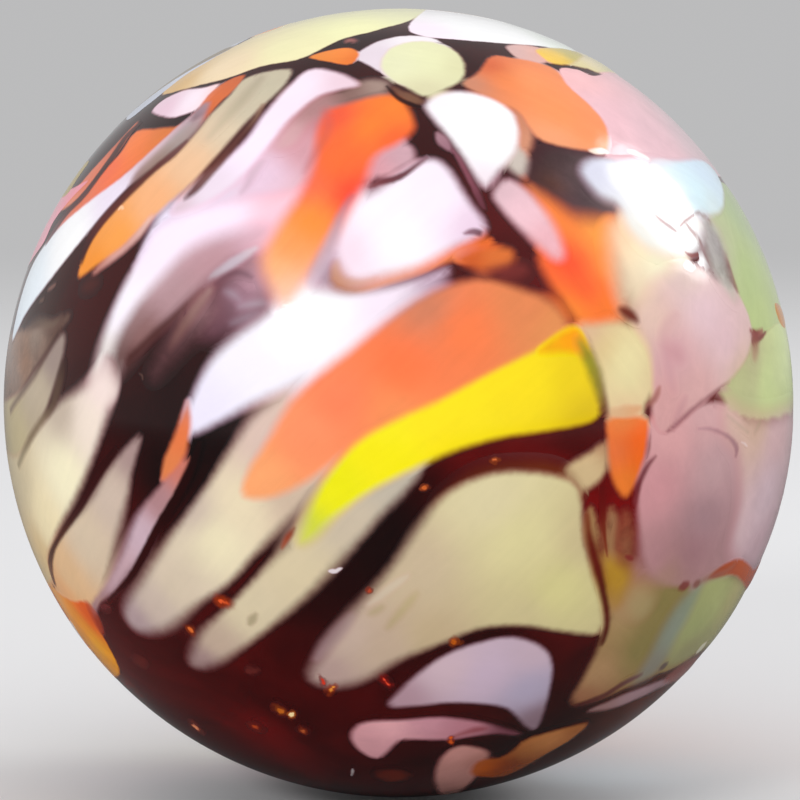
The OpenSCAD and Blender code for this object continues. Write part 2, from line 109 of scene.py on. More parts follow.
# The drawn-out side's middle, then the tips of its tongues: place laid out flat, reach in mm,
# and how much softer the chips' edges have run there
HOT_SPOTS = [
    (-2.9, 3.4, 4.8, 1.7), (-2.7, -3.8, 1.1, 1.3), (-9.1, -6.7, 2.2, 0.8), (-6.6, -8.3, 1.5, 1),
    (-2.4, -8.3, 1.8, 1), (-1.6, -6.2, 2, 1), (8.1, 3.5, 1.6, 2.6), (5.6, 5.8, 1.4, 2.2),
    (9.5, 7.4, 1.2, 2.2), (6.7, 4.3, 1.2, 1.2), (7.8, -5.5, 1.2, 1.6), (0.3, -3.5, 1.3, 0.8),
    (-9.9, 1, 1.4, 1.2), (-9.2, -4.1, 1.7, 1.6), (4.6, 3, 1.2, 1), (7.7, -5, 1.6, 0.8)
]

# ---------------------------------------------------------------- materials
# How strong each glass's streaks and clouds are, how ragged its edges, and how glossy it is
GLASS_FINISH = {
    "white": (0.06, 0.04, 0.06, 0.5),
    "cream": (0.10, 0.08, 0.08, 0.5),
    "tan": (0.16, 0.16, 0.08, 0.5),
    "pink": (0.10, 0.22, 0.05, 0.5),
    "violet": (0.12, 0.16, 0.06, 0.5),
    "smoke": (0.30, 1.10, 0.22, 0.5),
    "crumb": (0.20, 1.20, 0.25, 0.5),
    "glint": (0.20, 1.60, 0.42, 0.5),
    "orange": (0.16, 0.12, 0.06, 0.5),
    "red": (0.16, 0.14, 0.06, 0.5),
    "amber": (0.25, 0.25, 0.08, 0.3),
    "yellow": (0.08, 0.06, 0.04, 0.5),
    "green": (0.14, 0.18, 0.08, 0.5),
    "blue": (0.14, 0.14, 0.08, 0.5),
    "dark": (0.12, 0.12, 0.05, 0.35),
}
# Smoke is a thin, cloudy film, and it also gives the painted hazes of reflection; crumbs are broken
# bits with ragged edges, and glints are painted glints of bubbles and painted glows in the glass,
# ragged too
# Grain that is read in mm on the chips: scale, detail, roughness and distortion, then how far
# the streaks are drawn out, where each chip reads it, and the levels that are its middle
STREAK_GRAIN = (1.0, 3, 0.55, 0.3)
CLOUD_GRAIN = (1.2, 4, 0.62, 0.5)
RAGGED_GRAIN = (3.5, 2, 0.5, 0.0)
STREAK_STRETCH = (0.35, 2.4, 1)
GRAIN_PLACE = (37.1, 91.7, 53.3)
GRAIN_MIDDLE = 0.5
RAGGED_MIDDLE = 0.54
# The same for the dark glass, read in m
DARK_GRAIN = (190, 4, 0.55, 0.6)
# The dark glass's clouds, between two levels of that grain, and how bright they make it
DARK_CLOUDS = (0.35, 0.65)
CLOUD_SHOWS = (0.65, 1.45)
GLASS_IOR = 1.45
# What a chip's melted look is given and what it gives back
CHIP_INPUTS = {"Own Glass": "Color", "Glass Under": "Color", "From Edge": "Float",
               "Soft Edge": "Float", "Cover": "Float", "Grain": "Vector", "Streaks": "Float",
               "Clouds": "Float", "Ragged": "Float"}
CHIP_OUTPUTS = {"Color": "Color", "Roughness": "Float", "Height": "Float"}
# A chip's roughness, plain and where it is cloudy, and its fine unevenness
CHIP_ROUGH = 0.07
CLOUDS_ROUGHEN = 0.14
BUMP_STRENGTH = 0.25
BUMP_DEPTH = 0.02 * MM
RAGGED_IN_BUMP = 0.4
# The dark glass: how much of its colour lies in its depth, its gloss and roughness, and the
# light that it soaks up
DEPTH_SHARE = 0.5
DARK_GLOSS = 0.24
DARK_ROUGH = (0.02, 0.09)
SOAK_COLOUR = (0.85, 0.40, 0.10, 1)
SOAK_DENSITY = 200

# ---------------------------------------------------------------- light and camera
# How pale the room is, to the eye, in gloss and through glass, and as light on the marble
ROOM_SEEN = 0.50
ROOM_LIGHT = 0.79
FLOOR_PALE = 0.72
FLOOR_IN_GLOSS = 0.16
COOL = 1.01
# The floor, in m, and the distances between which it fades into the room
FLOOR_R = 0.6
FLOOR_SIDES = 96
FLOOR_FADE = (0.05, 0.30)
FLOOR_ROUGH = 0.9
# Name, way it hangs in, its distance and width in m, power, seen in gloss, lights the marble
LAMPS = [
    ("front lamp", (-0.464, -0.782, 0.417), 0.35, 0.078, 0.30, True, True),
    ("back lamp", (0.766, 0.455, 0.454), 0.35, 0.12, 0.32, False, True),
    ("back screen", (0.764, 0.335, 0.550), 0.35, 0.16, 0.32, True, False),
    ("top light", (0.1, -0.35, 0.95), 0.40, 0.5, 0.30, False, True),
]
# The camera's distance, its film and lens in mm, its shift, and where its sight starts, in m
CAMERA_AWAY = 8.8 * BALL_R * MM
FILM_WIDTH = 36
LENS = 156.6
SHIFT_ACROSS = 0.0025
SHIFT_UP = 0.00375
SIGHT_START = 0.01

# ---------------------------------------------------------------- the dark glass
# Its colour from place to place, laid out flat like the chips below, read with the light in it: darker
# above is painted shade, and redder and brighter below, where light shines through, is painted glow
DARK_DABS = [
    ("#310f10", -11.1, 3.9), ("#32201c", -13.1, 3), ("#2c1010", -8.3, 1.3), ("#210c09", -7.6, -0.1),
    ("#120606", -5.8, -1.4), ("#180806", -7.3, -2.3), ("#301012", -10.1, -2.5), ("#3c1416", -8.9, -3.8),
    ("#4d1509", -10, -9), ("#450e08", -8.8, -10.6), ("#3c0a05", -6, -9.8), ("#580e05", -5.3, -11.6),
    ("#3e0504", -3.2, -9.7), ("#3a0a05", -2.1, -12.8), ("#3c0a05", -1.2, -9.5), ("#280a06", -2, -5.8),
    ("#1c0804", -0.4, -4.2), ("#140500", 0.1, -3.3), ("#30100a", 0.9, -2.5), ("#4e0c02", 2.3, -1.6),
    ("#560a05", 4.1, -1.8), ("#3e0203", 5.5, -1.1), ("#5c0608", 6.2, -2.9), ("#6c140f", 6.8, -3.6),
    ("#2b090a", 2.5, -7.2), ("#3a1814", 5.2, -7.9), ("#290b09", 6.1, -10.3), ("#200c0a", 5.2, -12.6),
    ("#2a0e08", 0.1, -12.6), ("#290607", 1, 8.1), ("#3c0308", 2.4, 5.7), ("#44060c", 3.6, 4.3),
    ("#580a08", 4.8, 3), ("#3e060a", 3, 4.8), ("#2c0a08", -4.2, 12.3), ("#240808", -2.4, 12.3),
    ("#300c09", -0.6, 10.5), ("#320c06", 3.2, 12.1), ("#280808", 4.3, 13.8), ("#32151a", 4.6, 7.7),
    ("#5a4048", 5.7, 6.7), ("#2a1012", -12.1, 10.3), ("#2a0f10", -8.3, 10.5), ("#6a2a1c", 13.2, 2.5),
    ("#40200c", 8.7, -11.2), ("#4a0d08", -24, 4), ("#3c0a08", -10, 24), ("#4c0c06", 12, 26),
    ("#3a0c0a", 26, 6), ("#480a06", 14, -24), ("#52100a", -16, -26), ("#440a08", 34, 0),
    ("#3c0b0b", 0, 34), ("#4a0c06", -30, -14), ("#460c06", 4, -32)
]

# ---------------------------------------------------------------- chips of the near side
# name, glass, layer from the dark glass up, corner at the far end, width of its soft edge,
# how fully it covers what is under it, then dabs of colour and the outline, both in mm as
# laid out flat from the middle of the near side, across and up
# The dabs keep the light that fell on the chips: painted shade makes the lower chips duller and painted
# light makes the top ones paler
NEAR_CHIPS = [
    ("film under the brush", "violet", 1, 5, 0.9, 0.95, [
     ("#e8b4b8", -4.1, 5.1), ("#b08c94", -4.4, 4.2), ("#54383e", -4.8, 3.3), ("#6a505a", -4.1, 2.8),
     ("#a88088", -1.6, 6), ("#b09aa8", -2, 4.4), ("#c4acbc", -2.4, 3.4), ("#e0b0b0", -3.1, 3)], [
     (-1.3, 6.5), (-2.1, 7.1), (-3.1, 6.4), (-4.1, 5.6), (-4.8, 4.6), (-5.4, 3.2), (-4.3, 2.5),
     (-2.8, 2.6), (-1.8, 3.2), (-1.4, 4.4), (-1.1, 5.6)]),
    ("crown cream", "cream", 1, 6, 0.12, 1, [
     ("#e0b676", -9.1, 12.7), ("#f5ddb7", -6.6, 13), ("#f5efbb", -4.1, 13.6), ("#f8f7be", -1.8, 14.6),
     ("#eeedbf", 0.3, 15.9)], [
     (-9.7, 12.7), (-6.8, 12.1), (-5, 12.4), (-3.5, 12.5), (-2.1, 13.6), (-0.7, 14.3), (0.8, 15.9),
     (1.6, 20.9), (-2.7, 22.1), (-6, 20.3), (-6.5, 16.2), (-8.2, 14.6), (-9.1, 13.8)]),
    ("crown strip", "white", 2, 3, 0.06, 1, [
     ("#c9cfdf", -10.2, 12.6), ("#dde3f2", -8.9, 14.4), ("#cdd2e2", -7.3, 14.9)], [
     (-11.7, 12.2), (-10.4, 12.5), (-9.6, 13.2), (-8.9, 14), (-7.7, 14.8), (-6.8, 16.9), (-8.7, 17.9),
     (-11.7, 16.3), (-13.1, 14.9)]),
    ("crown lilac", "white", 2, 5, 0.1, 1, [
     ("#ffeffc", 1, 13.9), ("#ffffff", 2.9, 15.1), ("#ffffff", 4.8, 14.5), ("#ecf3e9", 7.1, 14.7)], [
     (0.4, 14.4), (1, 13.7), (2.4, 13.6), (4.1, 13.8), (5.9, 14.4), (7.7, 15.1), (8.4, 18.7),
     (5.4, 20.7), (2.2, 20.6), (1, 16.5)]),
    ("crown oval", "white", 1, 5, 0.14, 1, [
     ("#e8d9e3", -0.9, 12.3), ("#fbf4f9", 0.8, 13.2), ("#dcc9bb", 1.7, 11.7)], [
     (-1.5, 12.3), (-1.1, 11.8), (-0.2, 11), (0.7, 10.7), (1.4, 11.3), (1.8, 12.5), (1.4, 13.5),
     (0.3, 13.7), (-0.8, 13.2)]),
    ("crown lemon", "cream", 2, 5, 0.2, 1, [
     ("#e9e9c0", 0, 11.7), ("#edeebe", 1.1, 11.9), ("#dfdcae", 2.1, 11.8), ("#dad4ac", 0.9, 10.3)], [
     (-0.6, 11.8), (-0.2, 12.8), (0.8, 13.3), (1.8, 13), (2.3, 12.1), (2.2, 11.1), (1.6, 10.5),
     (0.9, 10.1), (0.3, 10.5), (-0.3, 11)]),
    ("crown ember", "orange", 2, 3, 0.12, 1, [
     ("#ee8b37", -2.8, 12.4), ("#fb8d37", -2.1, 12.5), ("#e87327", -1.6, 12.1)], [
     (-3.2, 12.5), (-2.6, 12.8), (-1.8, 12.9), (-1.4, 12.5), (-1.5, 12), (-1.8, 11.8), (-2.5, 12.1)]),
    ("shoulder pink", "pink", 1, 7, 0.08, 1, [
     ("#fac2c4", 6.5, 12.3), ("#f1c2ca", 7.7, 10.4), ("#e8c0c8", 9.3, 10.1), ("#d9bec4", 12.6, 10.1)], [
     (6.1, 12.6), (7, 13), (8.1, 13.2), (11.4, 17.1), (14.1, 16.1), (16, 13.9), (16.7, 11.8),
     (12.9, 9.3), (11, 8.9), (9, 8.4), (7.7, 8.3), (7, 8.4), (7.1, 9.4), (6.7, 10.3), (6.2, 11.1)]),
    ("shoulder orange", "orange", 2, 9, 0.2, 1, [
     ("#cc896d", 2.5, 10.9), ("#d85f36", 3.3, 11.9), ("#f6894c", 3.7, 11.3), ("#ff9c62", 4.5, 11.4),
     ("#ff985d", 5.5, 9.9), ("#fe9760", 6.8, 9.1), ("#f7a476", 5.2, 8.5)], [
     (2.2, 10.8), (2.8, 11.5), (3.4, 12.6), (4.2, 12.7), (5, 12.7), (5.9, 12.5), (6.2, 11.5),
     (6.9, 10.6), (7.3, 9.7), (7.1, 8.6), (6.3, 8.4), (5.3, 8.4), (4.6, 8.6), (4.3, 9.1), (4, 9.7),
     (3.3, 10.1), (2.7, 10.4)]),
    ("brow pink", "pink", 1, 3, 0.16, 1, [
     ("#dcb4af", 4.3, 13.4), ("#ebb4a7", 5.5, 13.4)], [
     (4.1, 13.5), (4.9, 14), (5.8, 14.1), (6.2, 13.6), (5.5, 12.8), (4.6, 12.6)]),
    ("brow green", "green", 3, 3, 0.16, 1, [
     ("#e0d29c", 6.9, 13.8), ("#e8d8b0", 8.1, 14.3), ("#d6d09c", 9.1, 13.8)], [
     (6.2, 13.7), (7.4, 15), (9.7, 17.6), (11.3, 16.7), (8.5, 13.7), (7.6, 13.4), (6.7, 13.2)]),
    ("brow olive", "green", 4, 3, 0.16, 1, [
     ("#face56", 5.8, 13.6), ("#c7ba6c", 7.2, 14.1)], [
     (5.4, 13.8), (6.5, 14.6), (8.1, 15.3), (6.9, 13.4), (5.9, 12.9), (5.5, 13.2)]),
    ("heart rim", "orange", 1, 4, 0.34, 1, [
     ("#a2573b", 3, 10.1), ("#cf8666", 3.9, 9.3), ("#d59273", 4.1, 8.4)], [
     (2.9, 10.2), (3.6, 10), (4.2, 9.6), (4.4, 8.9), (4.3, 8.3), (4, 7.9), (3.6, 7.9), (3.8, 8.9),
     (3.4, 9.6)]),
    ("heart fleck", "white", 2, 3, 0.34, 1, [
     ("#cbbeb3", 3.7, 7.6)], [
     (3.6, 7.9), (3.9, 8.1), (4.1, 7.7), (3.9, 7.1), (3.6, 7.2), (3.4, 7.5)]),
    ("heart", "white", 3, 6, 0.3, 1, [
     ("#fbf2f8", 1.2, 9.6), ("#fdfcfd", 2.6, 9), ("#fdfcfd", 2.9, 7.9), ("#f6e6ee", 2.7, 6.9)], [
     (0.9, 9.6), (1.1, 10), (1.6, 10.3), (2.2, 10.4), (3, 10.2), (3.7, 9.7), (3.9, 8.9), (3.7, 8),
     (3.2, 7.3), (2.7, 6.6), (2.5, 6.7), (2.1, 7.5), (1.6, 8.4), (1.2, 9)]),
    ("smoke gap", "smoke", 1, 6, 0.5, 0.9, [
     ("#3c2627", 4.3, 7.4), ("#382527", 5.2, 7.9), ("#5d494b", 5.5, 7.3), ("#423239", 5.9, 6.7),
     ("#6b5c5d", 6.5, 7.2), ("#948b8a", 6.9, 6.7), ("#5e3727", 4.8, 6.8), ("#513a3b", 6.3, 6)], [
     (4.1, 7.2), (4.6, 8), (5.3, 8.3), (6.3, 8.1), (7.1, 7.8), (7.3, 7), (6.9, 6.1), (6.2, 5.6),
     (5.6, 5.9), (4.9, 6.4), (4.4, 6.7)]),
    ("ember long", "red", 1, 7, 0.28, 1, [
     ("#d47548", 4.2, 6.7), ("#ff863d", 4.9, 5.9), ("#ffa24a", 6.3, 5.2), ("#ff9a4a", 6.5, 4.2),
     ("#ff4b30", 5.3, 4.2), ("#ff5d32", 5.7, 3.5), ("#ff8c35", 5.2, 2.7), ("#ff7d30", 6.4, 3)], [
     (4, 6.8), (4.4, 6.6), (4.9, 6.2), (5.5, 5.8), (6.3, 5.8), (6.8, 5.7), (6.7, 4.3), (6.7, 2.8),
     (6.1, 2.5), (5.4, 2.4), (4.9, 3), (4.5, 3.6), (4.2, 4.3), (4.5, 5), (4.4, 5.8)]),
    ("petal pink", "pink", 2, 6, 0.26, 1, [
     ("#dcb8c0", 3.2, 6.5), ("#f1c5ce", 3.8, 5.9), ("#eeb4bc", 4.6, 4.8)], [
     (2.9, 6.3), (3.1, 6.7), (3.4, 6.9), (3.9, 6.6), (4.4, 6), (4.8, 5.3), (5, 4.5), (4.7, 4.3),
     (4.2, 4.7), (3.6, 5.3), (3.1, 5.9)]),
    ("cheek cream", "cream", 2, 6, 0.32, 1, [
     ("#ffd0a9", 7, 5.1), ("#fff0c8", 7.7, 4.9), ("#f6f2ce", 8.3, 4.5), ("#ecd6b5", 7.5, 3.6),
     ("#e0caa9", 7, 3.1), ("#f4dac8", 8.6, 3.6)], [
     (6.7, 5.6), (7.8, 6), (8.9, 5.5), (9.7, 4.8), (9.6, 3.9), (8.7, 3.2), (7.8, 2.7), (7.3, 3),
     (6.8, 3.1), (6.7, 4.1)]),
    # A white chip guessed under the glare: its near-white is read off the glare and is partly painted
    # highlight
    ("glare white", "white", 3, 8, 0.36, 1, [
     ("#dcdcec", 6.3, 7.7), ("#f0f2fa", 8.1, 7.6), ("#f4f4f4", 9.1, 6.1), ("#f2efe6", 8.1, 5.4)], [
     (5.9, 7.5), (6.5, 8.1), (7.9, 8.3), (9.5, 8.7), (10.7, 8.4), (11.1, 7.2), (10.9, 6), (10.3, 5.2),
     (9.3, 4.9), (8.1, 5), (7.4, 5.6), (7.1, 6.4), (6.4, 6.7)]),
    ("sky chip", "blue", 4, 4, 0.3, 1, [
     ("#d8ebfb", 11.7, 9.1), ("#d8f2fb", 11.1, 7.8), ("#ddebec", 11.7, 7.3), ("#e5f5ff", 9.7, 8)], [
     (9.2, 8.3), (11, 9.3), (12.9, 10.1), (13.7, 9.6), (12.6, 7.6), (11.2, 6.8), (10, 6.6),
     (9.3, 7.1)]),
    ("rim green", "green", 1, 6, 0.1, 1, [
     ("#b0c192", 13.8, 8.3), ("#bec39a", 11.8, 5.9), ("#b6c787", 13.4, 5), ("#bac984", 14.1, 3.2)], [
     (13.7, 9.4), (12.3, 7.5), (11.4, 6.6), (11.9, 5.5), (12.2, 4.4), (12.6, 3.5), (13.1, 2.7),
     (14.3, 2.8), (16.6, 3.6), (20.1, 5.2), (20.2, 8.2), (18.4, 10.5)]),
    ("rim green low", "green", 2, 6, 0.12, 1, [
     ("#b8b085", 12.6, 1.8), ("#bdbe89", 12.2, 0.8), ("#c8d590", 13.8, 0.7), ("#ccda94", 16.2, 2.2)], [
     (12.3, 1.9), (11.8, 1.1), (10.9, 0.2), (11.8, -0.4), (13.8, -0.6), (18.2, -0.3), (20.7, 0.2),
     (21.1, 3.3), (20, 4.4), (15.1, 3.1), (13.5, 2.3)]),
    ("rim spark", "orange", 3, 2, 0.06, 1, [
     ("#c8873c", 17.7, 4.2)], [
     (15.8, 4.2), (15.9, 3.4), (17, 3.3), (18.7, 4.2)]),
    ("blush", "pink", 3, 7, 0.26, 1, [
     ("#e4c9c0", 9.6, 4.3), ("#e7c6cc", 10.2, 3.1), ("#e0bcc1", 11.2, 2.1), ("#d7a4a9", 8.7, 1.6),
     ("#d9a2a0", 8.4, 0), ("#dab9a5", 12, 1.1), ("#e7c5b5", 7.9, 2.6), ("#dbaaa7", 9.7, 0.4)], [
     (9.7, 4.6), (11.2, 4.5), (12.3, 3.9), (12.9, 2.8), (12.5, 1.8), (11.5, 0.9), (9.9, 0), (8.4, -0.9),
     (7.9, -0.4), (7.9, 0.4), (7.8, 1.6), (7.3, 2.6), (7.9, 3.4), (8.8, 4.2)]),
    ("hip olive", "green", 1, 9, 0.4, 1, [
     ("#976a2a", 6.7, -5.3), ("#b7956b", 7.7, -6.5), ("#8b7e49", 8.9, -6.8), ("#8b7e4b", 8.5, -8.6),
     ("#b38d64", 6.9, -9.3), ("#996649", 6.4, -10.3), ("#8b7e49", 9.8, -7.8)], [
     (6.2, -4.8), (6.5, -5.9), (6.8, -6.8), (6.7, -8.1), (6.4, -9.2), (6.1, -10.5), (7.2, -10.7),
     (8.9, -10.4), (10.8, -10.3), (12.2, -10), (12.1, -8.3), (11, -6.7), (9.4, -6.2), (7.7, -5.5)]),
    ("hip green", "green", 2, 6, 0.7, 1, [
     ("#b4ac74", 14, -7.6), ("#acb074", 12, -7.7), ("#a2a86f", 11.5, -8.2), ("#989468", 11.3, -9.7)], [
     (10.6, -6.5), (11.9, -6.3), (13.5, -6.9), (16.2, -8.4), (17.6, -9.2), (16.4, -11.6), (12.6, -10.5),
     (10.5, -10.2), (9.6, -8.9), (10.1, -7.5)]),
    ("hip sky", "blue", 3, 4, 0.8, 0.85, [
     ("#8b9682", 10.4, -7), ("#8b9487", 9.7, -8.1), ("#89867c", 9.2, -9.7)], [
     (10.8, -6.4), (10, -6.8), (9.4, -7.7), (9.1, -8.8), (8.7, -10.3), (9.8, -10.1), (10.2, -8.6),
     (10.6, -7.5)]),
    ("rose big", "pink", 1, 8, 0.24, 1, [
     ("#dea5a5", 8.6, -1), ("#d8a9a9", 10.3, -0.4), ("#d4979b", 8.2, -2.7), ("#c8a1a3", 10.6, -2.2),
     ("#a9858a", 10.3, -3.9), ("#a5797e", 9.9, -5), ("#b9878b", 8.5, -5.1), ("#ad8576", 8.9, -5.8)], [
     (8.4, -0.8), (9.3, -0.3), (10.3, 0), (11.4, -0.2), (12.5, -1.3), (13.2, -3.6), (13.4, -5.4),
     (12.7, -6.3), (10.9, -6.4), (9.6, -6.3), (8.4, -5.9), (7.8, -5.1), (7.5, -3.4), (7.5, -2.3),
     (7.8, -1.4), (7.8, -0.5)]),
    ("rose rim", "pink", 3, 5, 1.1, 0.9, [
     ("#debba5", 12.9, -0.5), ("#dfb9ba", 14.8, -1.4), ("#dbbfc7", 14.5, -3.4),
     ("#ceacb4", 14.9, -5.9)], [
     (11.1, 0), (12.2, -0.4), (14.2, -0.5), (18.2, -0.2), (21.1, -0.9), (20.3, -7.4), (18.4, -8),
     (15.6, -7.4), (13.5, -6.4), (12.2, -5.2), (12.3, -3.5), (11.9, -1.8), (11.1, -1)]),
    ("oval cream", "cream", 1, 6, 0.34, 1, [
     ("#e0b895", 5.7, 2.2), ("#f2e7af", 6.8, 1.4), ("#ece0a8", 7.1, 0.8), ("#e8c89b", 7, -0.2),
     ("#e0c48b", 6.3, 1.6), ("#e4cc9d", 7.8, 0.7)], [
     (5.4, 2.3), (6, 2.4), (6.8, 2.5), (7.5, 2.2), (7.9, 1.5), (8, 0.6), (7.6, -0.1), (7.5, -0.5),
     (6.9, -0.5), (6.4, -0.4), (6.2, 0.2), (5.9, 1.1), (5.7, 1.7)]),
    ("flame drop", "orange", 2, 6, 0.26, 1, [
     ("#ee8944", 6.9, -0.5), ("#fd6214", 7.3, -1.1), ("#e67544", 6.7, -1.5), ("#f96a18", 7.4, -1.7),
     ("#ee8130", 7, -2.3)], [
     (6.3, -0.5), (7, -0.4), (7.7, -0.5), (7.7, -1.1), (7.6, -1.7), (7.3, -2.5), (7, -2.9), (6.6, -2.5),
     (6.4, -1.9), (6.3, -1.1)]),
    ("pebble cream", "cream", 1, 4, 0.3, 1, [
     ("#d0b588", 5.1, -2.3), ("#dbc192", 5.8, -1.9), ("#b68561", 6.2, -1.3)], [
     (4.9, -2.1), (5.1, -1.8), (5.7, -1.5), (6.2, -1.2), (6.3, -1.8), (6.1, -2.3), (5.6, -2.6),
     (5.2, -2.5)]),
    ("fringe tan", "tan", 2, 5, 0.5, 0.7, [
     ("#672d11", 2.9, -2.1), ("#743515", 4.6, -2.1)], [
     (1.2, -2.9), (1.8, -2.2), (2.6, -1.8), (3.6, -1.7), (4.6, -1.8), (5.2, -2.2), (5.4, -2.9),
     (3.5, -2.5), (2.1, -2.8)]),
    ("big cream", "cream", 3, 9, 0.32, 1, [
     ("#bda098", -2.3, -8.4), ("#cdb4a4", -1.5, -7.2), ("#c9b098", -0.5, -7.5), ("#d1bc9c", 0.4, -4.8),
     ("#e1d4a8", 2.6, -2.8), ("#e3d8a0", 3.6, -4), ("#ddd494", 4.9, -5.7), ("#d3c294", 5.7, -4.1),
     ("#d5c696", 3.7, -6.5), ("#cbb48f", 1.1, -7.2)], [
     (-2.8, -8.8), (-2.3, -7.7), (-1.5, -6.5), (-0.7, -5.5), (-0.1, -4.7), (0.6, -3.6), (1.3, -2.7),
     (2.2, -2.2), (3.3, -2), (4.8, -2.2), (5.4, -2.7), (5.6, -4), (6, -5.2), (6.5, -6.4), (6.6, -7.5),
     (5.4, -7.3), (3.9, -6.9), (2.5, -6.9), (1.3, -7.4), (0, -8), (-1.1, -8.8), (-2.1, -9.1)]),
    ("cream long", "cream", 1, 6, 0.34, 1, [
     ("#b79ea0", -9.2, -7.5), ("#d3bfb0", -8, -6.7), ("#dfcdb4", -7.1, -6), ("#f6eac3", -5.5, -4.1),
     ("#f0dfbc", -4.6, -3.1), ("#dbbfb2", -3.9, -1), ("#cfbbac", -6.2, -3.3),
     ("#d3bba4", -3.2, -2.8)], [
     (-9.5, -7.1), (-8.5, -5.9), (-7.6, -4.8), (-6.7, -3.7), (-5.8, -2.6), (-5, -1.5), (-4.1, -0.3),
     (-2.8, 0.4), (-1.8, -0.5), (-1.6, -1.5), (-2.2, -2.2), (-2.8, -3), (-3.5, -3.7), (-4.3, -4.5),
     (-5.2, -5.5), (-6.4, -6.4), (-7.7, -7.5), (-8.9, -8), (-9.5, -7.8)]),
    ("cream tail", "cream", 1, 7, 0.28, 1, [
     ("#a78987", -6.6, -8.7), ("#cbb39e", -5.9, -7.8), ("#e0d0ae", -4.6, -6.6), ("#dfceaa", -2.9, -5),
     ("#d0c0a8", -1.4, -3.3), ("#c3b8a6", -0.2, -2.3)], [
     (-7.1, -8.8), (-6.4, -7.5), (-5.3, -6.4), (-4.3, -5.3), (-3.3, -4.2), (-2.3, -3.2), (-1.3, -2.5),
     (0.6, -1.8), (0.2, -2.5), (-0.4, -3.1), (-1, -3.8), (-1.7, -4.6), (-2.5, -5.5), (-3.4, -6.4),
     (-4.6, -7.5), (-5.8, -8.5), (-6.7, -9)]),
    ("coral", "orange", 2, 9, 0.26, 1, [
     ("#fda76e", -3.9, -2.3), ("#ff9465", -2.6, -1), ("#ff8459", -1.6, 0.1), ("#ff7745", 0.1, 1),
     ("#ff7f49", 1.8, 2.1), ("#e48654", 3.8, 2.8), ("#e69256", 4.6, 2.2), ("#fb9258", -0.1, -0.3),
     ("#d07f5f", 0.9, 2.7)], [
     (-4.6, -2.7), (-4.4, -2), (-3.8, -1.1), (-3.1, 0), (-2.3, 0.8), (-1.4, 1.5), (-0.4, 2.3), (0.6, 3),
     (1.5, 3.4), (2.5, 3.6), (3.7, 3.3), (4.5, 3), (5, 2.3), (4.5, 1.8), (2.9, 1), (1.2, 0.1),
     (-0.4, -0.6), (-1.5, -1.4), (-2.4, -2.1), (-3.3, -2.6), (-4, -2.8)]),
    ("lemon", "yellow", 3, 9, 0.26, 1, [
     ("#d4dc3c", -2.7, -3.7), ("#f4ee10", -1.9, -2.5), ("#fdee02", -0.5, -1.3), ("#ffe600", 1.5, -0.4),
     ("#ffe200", 3.8, 0.5), ("#f4d400", 5.4, 0.8), ("#e6c400", 5.7, -0.3)], [
     (-2.9, -4.1), (-2.7, -3.3), (-2.3, -2.5), (-1.7, -1.7), (-1, -1), (0.1, -0.4), (1.2, 0.1),
     (2.5, 0.8), (3.9, 1.5), (5.2, 2.2), (5.7, 1.5), (6, 0.5), (6, -0.3), (5.6, -0.6), (4.4, -0.8),
     (2.9, -1), (1.5, -1.4), (0.2, -2), (-0.9, -2.6), (-1.8, -3.3), (-2.4, -3.9)]),
    ("lemon tip", "amber", 4, 3, 0.22, 1, [
     ("#fda004", 5.1, 1.9), ("#f2ae10", 4.5, 1.5)], [
     (4.1, 1.5), (4.6, 1.9), (5.2, 2.2), (5.5, 1.9), (5.6, 1.4), (5.1, 1.5), (4.6, 1.5)]),
    # Its whitest dab lies in the front highlight and is partly painted highlight
    ("white sweep", "white", 1, 9, 0.26, 1, [
     ("#efe8fa", -5.9, -0.3), ("#f7f2fc", -4.3, 1.5), ("#fdfbfe", -2.3, 2.7), ("#f8e8f6", -0.2, 3),
     ("#cdb0c4", 1.1, 3.8)], [
     (-6.2, -0.9), (-6.3, -0.3), (-6, 0.5), (-5.5, 1.3), (-4.6, 2.1), (-3.8, 2.6), (-2.8, 3.3),
     (-1.5, 3.2), (0, 3.4), (1.4, 3.9), (1.2, 3.5), (0.2, 2.9), (-0.8, 2), (-1.8, 1.1), (-3, 0.5),
     (-4.2, 0), (-5.4, -0.6)]),
    ("quad fringe", "orange", 1, 5, 0.18, 0.95, [
     ("#ad7552", -1.7, 3.5), ("#e2936d", -0.2, 3.6), ("#f78752", 1.2, 4.1), ("#ee6d2b", 2.5, 4.6)], [
     (-1.9, 3.4), (-1.7, 3.8), (-0.8, 3.5), (0.3, 3.9), (1.5, 4.4), (2.7, 4.9), (2.7, 4.6), (2, 4.3),
     (0.9, 3.9), (-0.2, 3.5), (-1.3, 3.2)]),
    ("quad", "white", 2, 6, 0.3, 1, [
     ("#f6dcea", -1.6, 4.5), ("#fdf2fc", -0.5, 5.8), ("#fef8fe", 0.1, 4.8), ("#feeefc", 1.2, 6),
     ("#ecd0e4", 2.2, 5.3)], [
     (-1.8, 4.1), (-1.9, 4.8), (-1.5, 5.8), (-0.5, 6.5), (0.4, 7.2), (1, 7.5), (1.5, 7.2), (2.1, 6.1),
     (2.6, 5.3), (2.3, 4.9), (1.7, 4.6), (0.7, 4), (-0.3, 3.7), (-1.3, 3.5)]),
    ("quad ember", "orange", 2, 4, 0.28, 1, [
     ("#cc5723", 2.1, 4.3), ("#de7334", 2.9, 4.3)], [
     (1.8, 4.2), (2.4, 4.5), (3, 4.6), (3.4, 4.5), (3.3, 4.1), (2.8, 3.9), (2.3, 3.9)]),
    ("quad brown", "red", 3, 3, 0.3, 0.6, [
     ("#85322e", 3.1, 3.9)], [
     (2.6, 3.9), (3.1, 4.1), (3.7, 4.1), (3.8, 3.8), (3.2, 3.6)]),
    ("mauve bit", "pink", 1, 4, 0.22, 1, [
     ("#da9aa3", -0.7, 7.3), ("#cda4ae", 0.1, 7.6)], [
